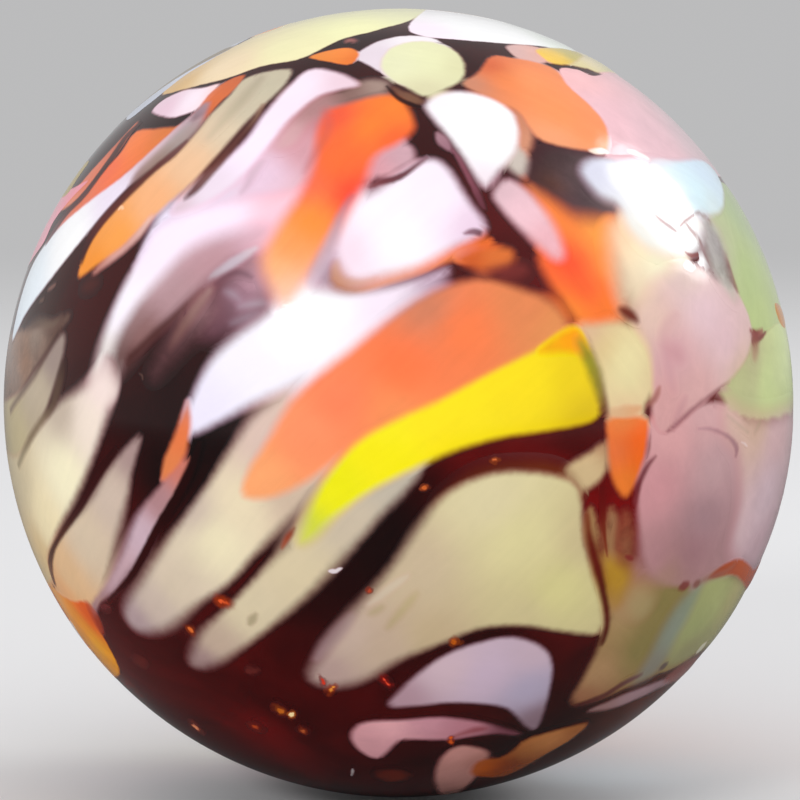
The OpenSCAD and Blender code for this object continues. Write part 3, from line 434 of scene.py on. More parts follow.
     (-1.1, 7.4), (-0.6, 7.9), (-0.1, 8.1), (0.4, 8), (0.5, 7.5), (0.1, 7.2), (-0.3, 6.9),
     (-0.8, 6.9)]),
    # Its tip pales to peach where the front highlight lies on it: painted highlight
    ("brush red", "red", 3, 8, 0.3, 1, [
     ("#ff8332", -0.1, 9.6), ("#f0593d", -2, 9.3), ("#ff8532", -0.8, 8.8), ("#ff6432", -0.2, 8.3),
     ("#ff6c32", -1.9, 7.4), ("#ff4732", -1.4, 6.3), ("#ff9137", -2.6, 5.4), ("#f46c51", -3, 6.8),
     ("#ff9b56", -3.2, 4.6), ("#ffb27b", -3.6, 4), ("#ffc5a3", -3.3, 3.3)], [
     (0.3, 9.6), (-0.1, 10.1), (-0.7, 10.1), (-1.6, 9.8), (-2.3, 9.5), (-2.6, 8.6), (-2.6, 7.5),
     (-3, 6.4), (-4, 4.5), (-3.8, 3.5), (-3.3, 2.8), (-2.8, 3.4), (-2.1, 4.6), (-1.5, 5.6), (-1, 6.7),
     (-0.7, 7.6), (0, 8.1), (0.5, 8.7)]),
    ("lilac field", "pink", 1, 8, 0.4, 1, [
     ("#c58489", -2.4, 9.2), ("#d59ca5", -2.9, 8), ("#e8c8dc", -4.2, 7.1), ("#e6d4e6", -5.8, 6.1),
     ("#eae1f5", -7.7, 5), ("#f1bab8", -3.2, 5.4)], [
     (-2, 10.1), (-3.2, 10.1), (-4.1, 9.4), (-4.7, 8.4), (-5.7, 7.6), (-6.7, 6.9), (-7.7, 6.3),
     (-8.1, 5.5), (-8.3, 4.5), (-7.5, 3.6), (-6.5, 4.5), (-5.2, 4.9), (-4, 4.8), (-3.3, 5.2),
     (-2.9, 6.2), (-2.5, 7.8)]),
    ("white fall", "white", 2, 9, 0.36, 1, [
     ("#fdc8d6", -3.4, 5.9), ("#fbe9fb", -5.7, 5.6), ("#f8eafa", -7.7, 5.1), ("#fbf3fe", -9, 2.9),
     ("#f4ece8", -9.5, 1.6), ("#e8dcd0", -9.6, 0.7)], [
     (-2.9, 6.2), (-4.3, 6.3), (-5.6, 6.2), (-6.8, 6), (-7.8, 5.6), (-8.2, 4.9), (-8.8, 4), (-9.3, 3),
     (-9.7, 1.9), (-9.9, 0.6), (-9.2, 0.3), (-8.9, 1.2), (-8.4, 2.1), (-7.6, 3.2), (-6.6, 4.2),
     (-5.3, 4.8), (-4, 5)]),
    ("dusky streak", "violet", 3, 6, 0.42, 0.95, [
     ("#d0a3b0", -4.4, 5.1), ("#be9299", -5.6, 4.4), ("#ba9499", -7, 3.3), ("#8e6664", -7.9, 2.1),
     ("#5f3b38", -8.6, 1.3)], [
     (-4.1, 5.3), (-5.3, 5.2), (-6.5, 4.8), (-7.5, 3.9), (-8.4, 3), (-9.2, 1.7), (-8.8, 1), (-7.6, 2.1),
     (-6.5, 3), (-5.4, 3.9), (-4.2, 4.8)]),
    ("grey lilac", "violet", 2, 5, 0.4, 0.9, [
     ("#ae9488", -0.7, 10.6), ("#89655e", -1.6, 10.4), ("#ae8080", -2.8, 9.6),
     ("#d4a6a9", -3.5, 8.5)], [
     (-0.4, 10.8), (-1.1, 10.9), (-1.9, 10.4), (-2.8, 10.1), (-3.4, 9.3), (-3.9, 8.2), (-3.3, 8.2),
     (-2.8, 9.1), (-1.9, 9.7), (-1, 10.1), (-0.4, 10.3)]),
    ("ivory streak", "white", 3, 6, 0.26, 1, [
     ("#eed0dc", -1.7, 10.9), ("#fde9f7", -3.4, 10.8), ("#f9eafc", -4.8, 8.5), ("#eedeec", -6.3, 6.7),
     ("#dcc0cc", -6.9, 6.3)], [
     (-1.3, 10.7), (-2.1, 11.4), (-3.1, 11.7), (-3.8, 10.8), (-4.5, 9.6), (-5.2, 8.3), (-7.3, 6.3),
     (-6.3, 6.3), (-5.2, 6.9), (-4.3, 8), (-3.6, 9.2), (-2.7, 10.2), (-1.9, 10.5)]),
    ("straw streak", "cream", 1, 10, 0.22, 1, [
     ("#f49229", -10.5, 4.6), ("#f79f48", -9.5, 5.6), ("#f5b17d", -8.2, 6.7), ("#edc098", -6.9, 8),
     ("#dcc8ab", -5.8, 9.1), ("#cabea5", -5.2, 9.9), ("#c6bca3", -4.6, 11)], [
     (-11.2, 4.4), (-11, 5.3), (-10.4, 6.2), (-9.5, 7.1), (-8.6, 7.9), (-7.7, 8.4), (-7, 9.3),
     (-6.5, 10.2), (-6, 10.9), (-5.5, 11.8), (-3.9, 11.9), (-3.9, 11.1), (-4.4, 10.3), (-5.1, 9.4),
     (-5.7, 8.5), (-6.3, 7.7), (-6.8, 7.1), (-7.6, 6.5), (-8.6, 5.6), (-9.4, 5), (-10.3, 4.7)]),
    ("tangerine edge", "orange", 2, 6, 0.16, 0.95, [
     ("#d56835", -5.7, 11.7), ("#e47035", -6.5, 10.9), ("#be5e42", -7.4, 9.7),
     ("#883d29", -8.2, 8.5)], [
     (-5.6, 12), (-6.1, 12), (-6.6, 11.7), (-7, 11.2), (-7.2, 10.5), (-7.5, 9.7), (-8, 9), (-7.4, 9.1),
     (-7.1, 9.5), (-6.7, 10), (-6.3, 10.7), (-5.9, 11.2)]),
    ("cap lilac", "white", 1, 4, 0.16, 1, [
     ("#edc8d9", -8.9, 11.2), ("#fff0fc", -7.6, 11.4), ("#ffd6d4", -6.6, 11.5)], [
     (-9.7, 11.5), (-9.4, 12.1), (-8.4, 12.2), (-7.4, 11.9), (-6.6, 11.8), (-6.8, 11), (-7.2, 10.6),
     (-7.7, 10.5), (-8.5, 10.6)]),
    # The blue-white of its end on the left limb is painted rim light
    ("limb white", "white", 3, 8, 0.22, 1, [
     ("#cbadb6", -7.5, 10.2), ("#d7bcc4", -8.8, 8.8), ("#efe2f3", -10.1, 7.5), ("#ffffff", -12.2, 6.1),
     ("#eff8ff", -14.9, 4.5), ("#eaf5ff", -15.9, 3)], [
     (-7, 10.5), (-7.7, 10.1), (-8.3, 9.5), (-9.1, 8.8), (-10.1, 8.1), (-11.7, 7.5), (-13.7, 6.8),
     (-15.7, 5.6), (-16.4, 2.7), (-14.8, 3.6), (-13.1, 4.6), (-11.4, 5.9), (-10.3, 6.9), (-9.3, 7.8),
     (-8.3, 8.7), (-7.4, 9.6)]),
    ("limb orange", "orange", 1, 6, 0.2, 1, [
     ("#dc7735", -8.4, 9.8), ("#fa823d", -10, 9.7), ("#f96e42", -10.9, 9), ("#e6754f", -12.3, 7.8),
     ("#d88273", -13.3, 7.1)], [
     (-7.9, 9.8), (-9.1, 10.2), (-10.2, 10.5), (-10.6, 9.5), (-11.6, 8.6), (-12.5, 7.8), (-13.8, 7.1),
     (-12.3, 7.1), (-10.9, 7.7), (-9.7, 8.4), (-8.7, 9.1)]),
    ("limb brown", "tan", 1, 4, 0.2, 0.9, [
     ("#ce6746", -10.6, 10.7), ("#ec7a55", -12.2, 8.9), ("#f18d69", -13.3, 7.9)], [
     (-10.4, 11.3), (-11, 10.6), (-11.8, 9.8), (-12.8, 9), (-13.9, 8), (-12.7, 8), (-11.6, 8.8),
     (-10.7, 9.8)]),
    ("limb pink", "pink", 2, 4, 0.1, 1, [
     ("#f595a5", -12.8, 8.6), ("#f5a8b8", -14.5, 6.6)], [
     (-12.2, 8.8), (-13.2, 8.3), (-14.4, 7.6), (-14.9, 6.6), (-17.1, 6.3), (-18.7, 7.4), (-17.5, 10.2),
     (-13.6, 9)]),
    ("limb yellow", "yellow", 3, 3, 0.06, 1, [
     ("#b39a3e", -14.5, 9.9)], [
     (-13.5, 10.6), (-13.7, 9.6), (-14.3, 8.9), (-16.7, 10.3), (-16.3, 11.4)]),
    ("cheek grey", "crumb", 1, 5, 0.3, 0.95, [
     ("#5c3e34", -12.3, 2.9), ("#958173", -13.6, 2.4), ("#966c50", -14.3, 1.7), ("#7a5f52", -13.2, 1.5),
     ("#8c7364", -15.2, 0.7)], [
     (-11.4, 3.1), (-11.8, 2.6), (-12.4, 2), (-13.4, 1.3), (-14.9, 0.3), (-16.7, -0.5), (-20.5, 0.7),
     (-20.3, 3.2), (-14.8, 2.9), (-13, 2.9)]),
    ("cheek olive", "cream", 2, 5, 0.3, 0.95, [
     ("#9f8b82", -12.2, 1.6), ("#c3b299", -13.1, 0.3), ("#d0c097", -15.1, -1.8)], [
     (-11.7, 2.4), (-11.7, 1.4), (-12.2, 0.4), (-13, -0.8), (-14.1, -1.7), (-16.6, -2.8), (-19.9, -2.8),
     (-20.3, -0.4), (-15.2, 0.3), (-13.3, 1.2)]),
    ("cheek big", "cream", 3, 7, 0.38, 1, [
     ("#e7cfcc", -9.6, 1.1), ("#fae5dd", -9.5, 0.5), ("#f6e5d5", -10.2, -0.6), ("#fff6d1", -11.6, -2.5),
     ("#feedc1", -13.2, -4.5), ("#efcf99", -14.2, -6.5), ("#decda9", -15.2, -2.7),
     ("#c4b2a0", -11.6, -0.2)], [
     (-9.4, 1.3), (-9.1, 0.5), (-9.6, -0.8), (-10.2, -1.9), (-11.3, -3.4), (-12.9, -5), (-14.1, -6.3),
     (-14.4, -7.4), (-18.1, -8.8), (-19.9, -4.9), (-19.7, -2.3), (-15.5, -2.2), (-13.2, -1), (-11.7, 0),
     (-10.7, 0.4), (-9.8, 0.9)]),
    ("jaw beige", "cream", 1, 7, 0.22, 1, [
     ("#aa8e8a", -8.3, -1.5), ("#d3bead", -9.4, -3.1), ("#dfcaaf", -10.9, -4.7),
     ("#ecc496", -12.5, -6.6), ("#f8b87e", -12.9, -7.8)], [
     (-8, -1), (-8.7, -1.5), (-9.5, -2.3), (-10.4, -3.3), (-11.7, -4.4), (-13.2, -5.6), (-14.2, -6.8),
     (-14.3, -8.5), (-12.9, -8.5), (-11, -7.1), (-10, -5.8), (-9.4, -4.6), (-8.8, -3.3), (-8.4, -2.1)]),
    # Bright orange where light shines through the glass at the lower left limb: a painted glow
    ("jaw amber", "amber", 2, 5, 0.16, 1, [
     ("#ffb460", -14.8, -8.3), ("#f4640c", -12, -7.9), ("#d84906", -11.5, -8.2),
     ("#ff9f00", -13.1, -9.3), ("#ffb400", -12.2, -10), ("#ffa300", -11.7, -10.5)], [
     (-15.6, -7.8), (-14.2, -7.9), (-12.8, -7.8), (-11.7, -7.5), (-11.5, -8.4), (-11.4, -11),
     (-14.5, -13.2), (-16.2, -11.1)]),
    ("ribbon ember", "red", 2, 5, 0.18, 1, [
     ("#c98177", -6.4, 0.2), ("#e97842", -6.6, -0.9), ("#e1814d", -7, -2)], [
     (-6.3, 0.1), (-6.5, -0.3), (-6.7, -0.8), (-7, -1.4), (-7.2, -1.8), (-7.3, -2.4), (-7, -2.2),
     (-6.7, -1.9), (-6.4, -1.5), (-6.3, -1.1), (-6.2, -0.6)]),
    ("ribbon mauve", "violet", 1, 10, 0.18, 1, [
     ("#d07a68", -6.7, -1.9), ("#b08487", -7.4, -3), ("#d0b3bf", -8.3, -4.2), ("#cba8b0", -9.3, -5.5),
     ("#ab8287", -11.1, -7.5)], [
     (-6.3, -1.7), (-6.8, -1.9), (-7.3, -2.5), (-7.9, -3.1), (-8.4, -3.7), (-8.8, -4.4), (-9.4, -5.3),
     (-10.1, -6.2), (-10.8, -6.9), (-11.4, -7.5), (-11.4, -8), (-10.8, -7.2), (-9.9, -6.6),
     (-9.1, -5.8), (-8.4, -5.1), (-7.8, -4.3), (-7.4, -3.6), (-6.9, -3), (-6.6, -2.3)]),
    ("lip lilac", "white", 1, 9, 0.26, 1, [
     ("#bb97a2", 0.1, -9.5), ("#d9bdc6", 1.6, -8.5), ("#d3bbce", 2.8, -8.8), ("#bbafc6", 4.3, -9.5),
     ("#cfb5c2", 4.4, -7.9), ("#8e747f", 4.9, -11.1)], [
     (-0.3, -9.9), (0.1, -9.2), (0.6, -8.6), (1.4, -7.9), (2.3, -7.5), (3.4, -7.3), (4.3, -7.6),
     (4.9, -8.2), (5.1, -9.3), (5, -11.5), (4.6, -11.5), (3.8, -10.4), (3, -10), (1.7, -9.8),
     (0.6, -9.9)]),
    ("chin pink", "pink", 1, 7, 0.28, 1, [
     ("#e6a7ad", -1.1, -11.1), ("#f4b5ba", -0.5, -10.8), ("#d598a4", 1.1, -10.5),
     ("#c4838f", 2.3, -10.9), ("#76414d", 3.9, -11.2)], [
     (-1.6, -11.7), (-1.5, -11.1), (-1, -10.7), (0.1, -10.6), (1.4, -10.5), (2.6, -10.8), (3.6, -11.3),
     (4.4, -11.9), (3.5, -11.6), (2.7, -11.6), (1.7, -11.7), (0.5, -11.6), (0, -11.7), (-0.7, -12.8),
     (-1.3, -12.4)]),
    ("foot lilac", "violet", 1, 4, 0.3, 1, [
     ("#d79a91", 2.2, -12.8), ("#ca9188", 2, -14), ("#b0786d", 2.9, -13.3)], [
     (1.5, -15), (1.5, -13.2), (1.9, -12.3), (2.5, -12.2), (3.3, -12.8), (3.2, -13.8), (2.9, -15.7),
     (2.3, -18.6)]),
    ("foot amber", "amber", 2, 5, 0.3, 0.95, [
     ("#c65f0d", 3.4, -14.1), ("#973f0a", 4, -14.1), ("#67280a", 4.4, -13.9), ("#ab6c3a", 5, -13.3),
     ("#c6834d", 5.7, -12.6), ("#a36234", 6.8, -12.3)], [
     (2.9, -14.5), (3, -13.3), (3.8, -13.3), (4.3, -12.9), (4.8, -12.2), (7.1, -12.1), (6.7, -13.1),
     (5.9, -13.8), (5.2, -14.6), (4.3, -15.4)]),
    ("hip yellow", "yellow", 2, 3, 0.34, 1, [
     ("#be902c", 6.9, -5.7), ("#af8438", 7.2, -6.3)], [
     (6.3, -4.8), (6.8, -4.9), (7.4, -5.5), (7.4, -6.3), (7, -6.6), (6.6, -5.9)]),
    ("hip cream", "cream", 2, 3, 0.5, 0.8, [
     ("#ac986b", 7.9, -6.6)], [
     (7.5, -6.2), (7.9, -6.1), (8.6, -6.5), (8.5, -7.1), (8, -7.3), (7.5, -6.8)]),
    ("hip ember", "orange", 4, 4, 0.16, 1, [
     ("#9d4b30", 11.4, -6.3), ("#af4d27", 12.4, -6.2), ("#b95120", 13.4, -6.4),
     ("#af4723", 16.4, -8)], [
     (11.2, -6.3), (12, -5.9), (13.2, -6), (15.4, -7.2), (16.7, -7.2), (16.4, -7.9), (16, -8.6),
     (13.1, -6.7)]),
    ("hip mauve", "violet", 1, 4, 0.3, 0.9, [
     ("#9f7976", 7.4, -11.3), ("#ac8a90", 9.2, -11), ("#9f8187", 11.3, -11.2)], [
     (7, -11.3), (7.6, -11.1), (8.7, -10.9), (10.3, -11), (13.2, -11.5), (13.3, -12.4), (11.1, -11.7),
     (9.6, -11.6), (8.2, -11.6)]),
    ("gap tan a", "crumb", 4, 3, 0.3, 0.9, [
     ("#ae8558", 6, -3.6), ("#80452b", 6.2, -4.7)], [
     (5.8, -3.1), (6.1, -3.8), (6.3, -4.7), (6.3, -5.6), (5.9, -4.8), (5.6, -4)]),
    ("gap tan b", "crumb", 1, 3, 0.3, 0.9, [
     ("#a27250", 6.5, -3.9), ("#a77e55", 6.6, -4.5)], [
     (6.5, -3.2), (6.8, -3.6), (6.8, -4.3), (6.6, -4.9), (6.3, -4.2), (6.4, -3.5)]),
    ("gap tan c", "crumb", 2, 3, 0.3, 0.9, [
     ("#8f4833", 7.1, -3.7), ("#976143", 7.3, -4.8)], [
     (7, -3.3), (7.4, -3.9), (7.4, -4.8), (7.1, -5), (6.8, -4.2)]),
    # Painted haze of blurred reflection round the front highlight, cloudy and violet-grey
    ("painted reflection haze", "smoke", 1, 4, 0.42, 0.85, [
     ("#bf929f", -4.1, 3.6), ("#a37a8a", -4.6, 3.1), ("#936c78", -3.9, 2.8), ("#6a444e", -5.1, 2.7),
     ("#6a4450", -5.5, 2.1)], [
     (-3.8, 3.8), (-4.6, 4), (-5.2, 3.5), (-5.6, 2.7), (-5.7, 2), (-5, 2.1), (-4.2, 2.6), (-3.8, 3.1)]),
    ("lower painted reflection haze", "smoke", 2, 4, 0.5, 0.6, [
     ("#a77b80", -6, 2.9), ("#785055", -6.7, 2.1), ("#603a3d", -7.2, 1.3)], [
     (-5.7, 3.4), (-6.6, 2.6), (-7.2, 1.8), (-7.6, 0.9), (-7.3, 0.9), (-6.4, 1.8), (-5.5, 2.5)]),
]

# ---------------------------------------------------------------- thin streaks, and painted highlights, glints and glows
# name, glass, width of its soft edge, how fully it covers, its colours from one end to the
# other, then points in mm laid out flat like the chips, each with a half width
STREAKS = [
    ("dark between straw and ivory", "dark", 0.27, 0.92, ("#94705c", "#5e3430", "#6a3a30", "#501c1e"), [
     (-4.58, 10.19, 0.05), (-4.79, 9.44, 0.09), (-5.28, 8.67, 0.14), (-5.68, 8.04, 0.18),
     (-6.13, 7.45, 0.19), (-6.56, 6.91, 0.17), (-6.92, 6.6, 0.07)]),
    ("notch in straw", "cream", 0.44, 0.5, ("#988874", "#a89a80", "#b4a68a", "#c4b496"), [
     (-4.83, 11.75, 0.13), (-5.21, 10.95, 0.23), (-5.61, 10.23, 0.25), (-6.07, 9.48, 0.16),
     (-6.49, 8.86, 0.08)]),
    ("grey on limb white", "violet", 0.42, 0.9, ("#b49ca4", "#a89c98", "#a08478", "#94706a"), [
     (-6.99, 10.41, 0.19), (-7.18, 9.86, 0.36), (-7.68, 9.2, 0.39), (-8.37, 8.58, 0.36),
     (-9.04, 8.1, 0.25), (-9.4, 7.73, 0.09)]),
    ("dark by limb white", "dark", 0.24, 0.95, ("#6e4240", "#5a2622", "#5c2420", "#3c1614"), [
     (-7.24, 9.08, 0.06), (-7.71, 8.67, 0.12), (-8.27, 8.21, 0.16), (-8.92, 7.65, 0.16),
     (-9.53, 7.18, 0.19), (-10.08, 6.74, 0.21), (-10.6, 6.26, 0.21), (-11.01, 5.65, 0.19),
     (-11.14, 4.91, 0.09)]),
    ("pink under straw", "pink", 0.28, 0.9, ("#e8bcb4", "#dca49c", "#c88478"), [
     (-8.09, 6.2, 0.09), (-8.52, 5.61, 0.15), (-9.15, 5.1, 0.14), (-9.81, 4.77, 0.15),
     (-10.41, 4.43, 0.08)]),
    ("dark at the limb", "dark", 0.18, 0.95, ("#4a1e1c", "#3a1414", "#4a2224", "#7a4c50"), [
     (-10.19, 11.05, 0.12), (-10.69, 10.53, 0.21), (-11.01, 9.63, 0.23), (-11.55, 8.73, 0.22),
     (-12.16, 7.99, 0.22), (-12.97, 7.62, 0.21), (-13.65, 7.1, 0.19), (-14.36, 6.46, 0.12)]),
    ("lilac end", "violet", 0.3, 0.9, ("#a48c98", "#8a6a70"), [
     (-6.85, 10.84, 0.13), (-7.03, 10.42, 0.26), (-7.3, 10, 0.13)]),
    ("pink specks", "pink", 0.24, 0.8, ("#b8706a", "#a05c58"), [
     (-1.94, 13.37, 0.09), (-1.76, 13.41, 0.19), (-1.57, 13.31, 0.1)]),
    ("brown under lemon", "tan", 0.22, 0.85, ("#7a4c3c", "#94684e", "#5e3428"), [
     (-0.2, 10.51, 0.07), (0.2, 10.13, 0.18), (0.58, 9.9, 0.18), (0.87, 9.82, 0.07)]),
    ("dark in the brown", "dark", 0.13, 0.95, ("#2c0e0c", "#2a0c0a"), [
     (-0.4, 10.61, 0.04), (-0.07, 10.08, 0.08), (0.32, 9.76, 0.1), (0.77, 9.59, 0.04)]),
    ("mauve by the heart", "violet", 0.18, 0.9, ("#b0848f", "#a47482"), [
     (1.22, 8.57, 0.05), (1.37, 8.26, 0.18), (1.54, 8, 0.13), (1.66, 7.85, 0.04)]),
    ("thin mauve by the heart", "violet", 0.13, 0.85, ("#8c5664", "#8a4c5a", "#6a3440"), [
     (1.67, 7.93, 0.04), (1.9, 7.53, 0.08), (2.09, 7.07, 0.08), (2.29, 6.59, 0.09), (2.48, 6.12, 0.1),
     (2.62, 5.79, 0.03)]),
    ("dark under the mauve", "dark", 0.17, 0.95, ("#8a4c50", "#5e242c", "#602a34", "#8c6470"), [
     (-0.89, 6.47, 0.03), (-0.54, 6.67, 0.1), (-0.15, 6.77, 0.12), (0.18, 6.94, 0.1),
     (0.51, 7.23, 0.08), (0.92, 7.6, 0.05)]),
    ("grey by the quad", "violet", 0.36, 0.7, ("#a06068", "#a888a0", "#b098a8", "#c4aebc", "#d4bccc"), [
     (-1.37, 6.28, 0.06), (-1.68, 5.63, 0.12), (-1.87, 4.99, 0.18), (-2.09, 4.38, 0.21),
     (-2.34, 3.84, 0.21), (-2.59, 3.36, 0.09)]),
    ("tan corner", "tan", 0.32, 0.6, ("#cc9c80", "#d09474", "#d89878"), [
     (-1.79, 4.19, 0.09), (-1.78, 3.7, 0.17), (-1.49, 3.49, 0.15), (-1.03, 3.48, 0.09),
     (-0.57, 3.6, 0.04)]),
    ("maroon corner", "dark", 0.16, 0.85, ("#8a5060", "#4c1c28"), [
     (1.93, 4.99, 0.03), (2.23, 5.07, 0.11), (2.49, 5.01, 0.1)]),
    ("brown by the brush", "red", 0.35, 0.4, ("#c8605c", "#b45048"), [
     (-2.47, 9.7, 0.07), (-2.23, 9.07, 0.16), (-2.37, 8.28, 0.18), (-2.71, 7.54, 0.11),
     (-2.93, 7.05, 0.03)]),
    ("grey fold in the lilac", "violet", 0.31, 0.5, ("#c8a8b4", "#bc98a8"), [
     (-4.27, 7.69, 0.08), (-4.56, 7.27, 0.15), (-4.71, 6.85, 0.11), (-4.94, 6.52, 0.04)]),
    ("light fold", "white", 0.27, 0.8, ("#dccad2", "#c8bcc8", "#b4a4ac"), [
     (-4.18, 4.69, 0.08), (-4.58, 4.46, 0.15), (-5.01, 4.2, 0.17), (-5.45, 3.95, 0.14),
     (-5.77, 3.78, 0.05)]),
    ("dark fold", "dark", 0.28, 0.8, ("#7a4c4a", "#54302e", "#4a2624", "#401c1a"), [
     (-5.88, 3.48, 0.05), (-6.39, 3.04, 0.09), (-6.92, 2.58, 0.11), (-7.47, 2.17, 0.12),
     (-8.04, 1.73, 0.12), (-8.57, 1.35, 0.07)]),
    ("brown fold", "tan", 0.42, 0.7, ("#b09088", "#a07870", "#885e56", "#5c3836"), [
     (-5.61, 3.49, 0.07), (-5.98, 3.05, 0.15), (-6.36, 2.55, 0.17), (-6.68, 2.11, 0.14),
     (-7.01, 1.6, 0.04)]),
    ("dark arc", "dark", 0.26, 0.6, ("#6a4650", "#583a44", "#6a4a56"), [
     (-5.49, 3.55, 0.05), (-5.18, 3.81, 0.08), (-4.74, 3.91, 0.09), (-4.29, 3.7, 0.04)]),
    # Wisps in the painted reflection haze
    ("first wisp", "white", 0.41, 0.35, ("#b8a4b4", "#c8bcc8", "#b8a8b8"), [
     (-5.21, 3.35, 0.06), (-4.92, 3.24, 0.12), (-4.63, 2.99, 0.06)]),
    ("second wisp", "white", 0.42, 0.4, ("#b8a8b8", "#ccc0cc", "#c8b8c4"), [
     (-4.75, 2.84, 0.06), (-4.31, 2.91, 0.13), (-3.82, 2.93, 0.07)]),
    ("third wisp", "white", 0.43, 0.35, ("#a898a8", "#bcaebc", "#b0a0b0"), [
     (-4.98, 2.34, 0.06), (-4.54, 2.48, 0.12), (-4.06, 2.67, 0.06)]),
    # Painted highlights where the rims of chips catch the lamp
    ("painted highlight dash", "white", 0.14, 1, ("#f8d8b8", "#ffffff", "#fff4e4"), [
     (6.33, 8.4, 0.05), (6.63, 8.42, 0.12), (6.95, 8.49, 0.12), (7.14, 8.45, 0.05)]),
    ("long painted highlight dash", "white", 0.17, 1, ("#ffffff", "#fff8f4"), [
     (7.98, 8.74, 0.08), (8.28, 8.73, 0.16), (8.62, 8.69, 0.13), (8.91, 8.59, 0.06)]),
    ("crack across the glare", "red", 0.1, 0.8, ("#b07070", "#8a4444", "#b48888"), [
     (8.55, 6.24, 0.03), (8.81, 6.06, 0.06), (9.13, 5.9, 0.08), (9.41, 5.76, 0.04)]),
    ("crack over the ring", "red", 0.09, 0.9, ("#b47c7c", "#8c4c48", "#84504a", "#9a8078"), [
     (9.55, 5.97, 0.02), (9.9, 6.27, 0.06), (10.33, 6.56, 0.06), (10.81, 6.76, 0.07),
     (11.17, 6.68, 0.08)]),
    ("crack under the ring", "red", 0.14, 0.9, ("#8c4c48", "#94605c", "#8a7474"), [
     (9.93, 6.2, 0.05), (10.12, 5.97, 0.09), (10.45, 5.69, 0.11), (10.52, 5.36, 0.06)]),
    # A painted highlight: the lamp caught in a small pit
    ("painted pit glint", "white", 0.15, 1, ("#fffdf8",), [
     (10.19, 6.25, 0.09), (10.51, 6.28, 0.3), (10.88, 6.29, 0.11)]),
    ("crack by the two rings", "red", 0.1, 0.9, ("#a45c58", "#7a3432", "#84504c"), [
     (9.63, 5.07, 0.04), (9.95, 5.01, 0.08), (10.41, 5.12, 0.08), (10.81, 5.08, 0.06)]),
    # Two more painted highlights of the lamp caught in small pits
    ("first painted pit glint", "white", 0.11, 1, ("#ffffff",), [
     (9.48, 4.51, 0.07), (9.77, 4.59, 0.21), (10.06, 4.63, 0.08)]),
    ("second painted pit glint", "white", 0.12, 1, ("#ffffff",), [
     (10.27, 4.73, 0.07), (10.55, 4.85, 0.18), (10.74, 4.77, 0.11)]),
    ("dark by the rings", "smoke", 0.26, 0.9, ("#7a5050", "#846060", "#8c7874"), [
     (10.4, 4.64, 0.07), (10.85, 4.57, 0.26), (11.32, 4.27, 0.11)]),
    ("grey gap by the green", "smoke", 0.84, 0.9,
     ("#c4c0b8", "#b4aeac", "#a8a2a0", "#b0aca4", "#bcbca4"), [
     (11, 6.68, 0.21), (11.26, 6.25, 0.49), (11.33, 5.6, 0.6), (11.38, 4.95, 0.58), (11.62, 4.32, 0.45),
     (12.02, 3.75, 0.2)]),
    ("dark notch", "dark", 0.28, 0.95, ("#6a2418", "#6a2418"), [
     (6.73, 2.88, 0.07), (6.97, 2.8, 0.16), (7.21, 2.66, 0.16), (7.41, 2.48, 0.07)]),
    ("neck of the drop", "tan", 0.21, 0.9, ("#e0b488", "#e4a878"), [
     (6.36, -0.27, 0.09), (6.91, -0.27, 0.18), (7.48, -0.15, 0.09)]),
    ("dark by the oval", "red", 0.18, 0.8, ("#b87468", "#8a4840", "#b07068"), [
     (8.16, 0.53, 0.04), (8.04, 0.28, 0.11), (7.89, 0.06, 0.08), (7.63, -0.09, 0.03)]),
    ("dark line by the drop", "green", 0.39, 0.85, ("#a09c30", "#80801c", "#7c7420", "#7a4418"), [
     (5.31, 1.91, 0.06), (5.62, 1.41, 0.2), (5.87, 0.86, 0.23), (6.03, 0.27, 0.16),
     (6.19, -0.27, 0.07)]),
    ("edge of the rose", "dark", 0.19, 0.9, ("#8c4c54", "#662430", "#6a2028", "#8a3c40"), [
     (8.08, -1.64, 0.03), (7.82, -1.88, 0.08), (7.58, -2.24, 0.1), (7.43, -2.67, 0.1),
     (7.35, -3.17, 0.06)]),
    ("seam", "violet", 0.19, 0.75, ("#80444e", "#8a4c58", "#9c686a", "#c09c90"), [
     (8.4, -0.93, 0.03), (8.71, -0.75, 0.07), (9.2, -0.41, 0.08), (9.63, -0.13, 0.08),
     (10.08, 0.13, 0.06), (10.66, 0.43, 0.05), (11.4, 0.75, 0.03)]),
    ("second crease", "pink", 0.32, 0.4, ("#c08890", "#b88088"), [
     (9.2, 0.22, 0.04), (9.03, -0.09, 0.12), (8.83, -0.47, 0.1), (8.71, -0.78, 0.04)]),
    ("spot in the blush", "pink", 0.53, 0.35, ("#c4868a", "#c08086"), [
     (8.43, 1.78, 0.07), (8.78, 1.57, 0.21), (9.06, 1.36, 0.12)]),
    ("fold in the blush", "pink", 0.39, 0.35, ("#cc969c", "#c48e96"), [
     (9.01, 2.91, 0.05), (8.48, 2.48, 0.13), (8.29, 1.96, 0.14), (8.42, 1.47, 0.08), (8.55, 0.84, 0.12),
     (8.7, 0.34, 0.06)]),
    ("curved crease", "violet", 0.16, 0.75, ("#b88c94", "#a87880", "#a0727c", "#9a6c74"), [
     (9.73, -0.84, 0.03), (10.28, -0.85, 0.05), (10.88, -1, 0.06), (11.37, -1.22, 0.08),
     (11.73, -1.55, 0.12), (11.71, -1.89, 0.06)]),
    # A painted highlight
    ("small glint", "white", 0.09, 0.5, ("#f0e0e0",), [
     (11.95, -1.35, 0.02), (12.2, -1.43, 0.05), (12.4, -1.55, 0.03)]),
    ("line in the green", "tan", 0.3, 0.4, ("#a09a6c", "#a88c7c"), [
     (13.3, -0.58, 0.06), (13.02, -0.9, 0.09), (12.76, -1.1, 0.08)]),
    ("line by the green", "pink", 0.22, 0.4, ("#b0988c", "#a89880"), [
     (11.07, -0.37, 0.03), (11.73, -0.72, 0.06), (12.49, -1.09, 0.05)]),
    ("red notch in the green", "red", 0.19, 0.95, ("#9a4030", "#7a1e14", "#a05c48"), [
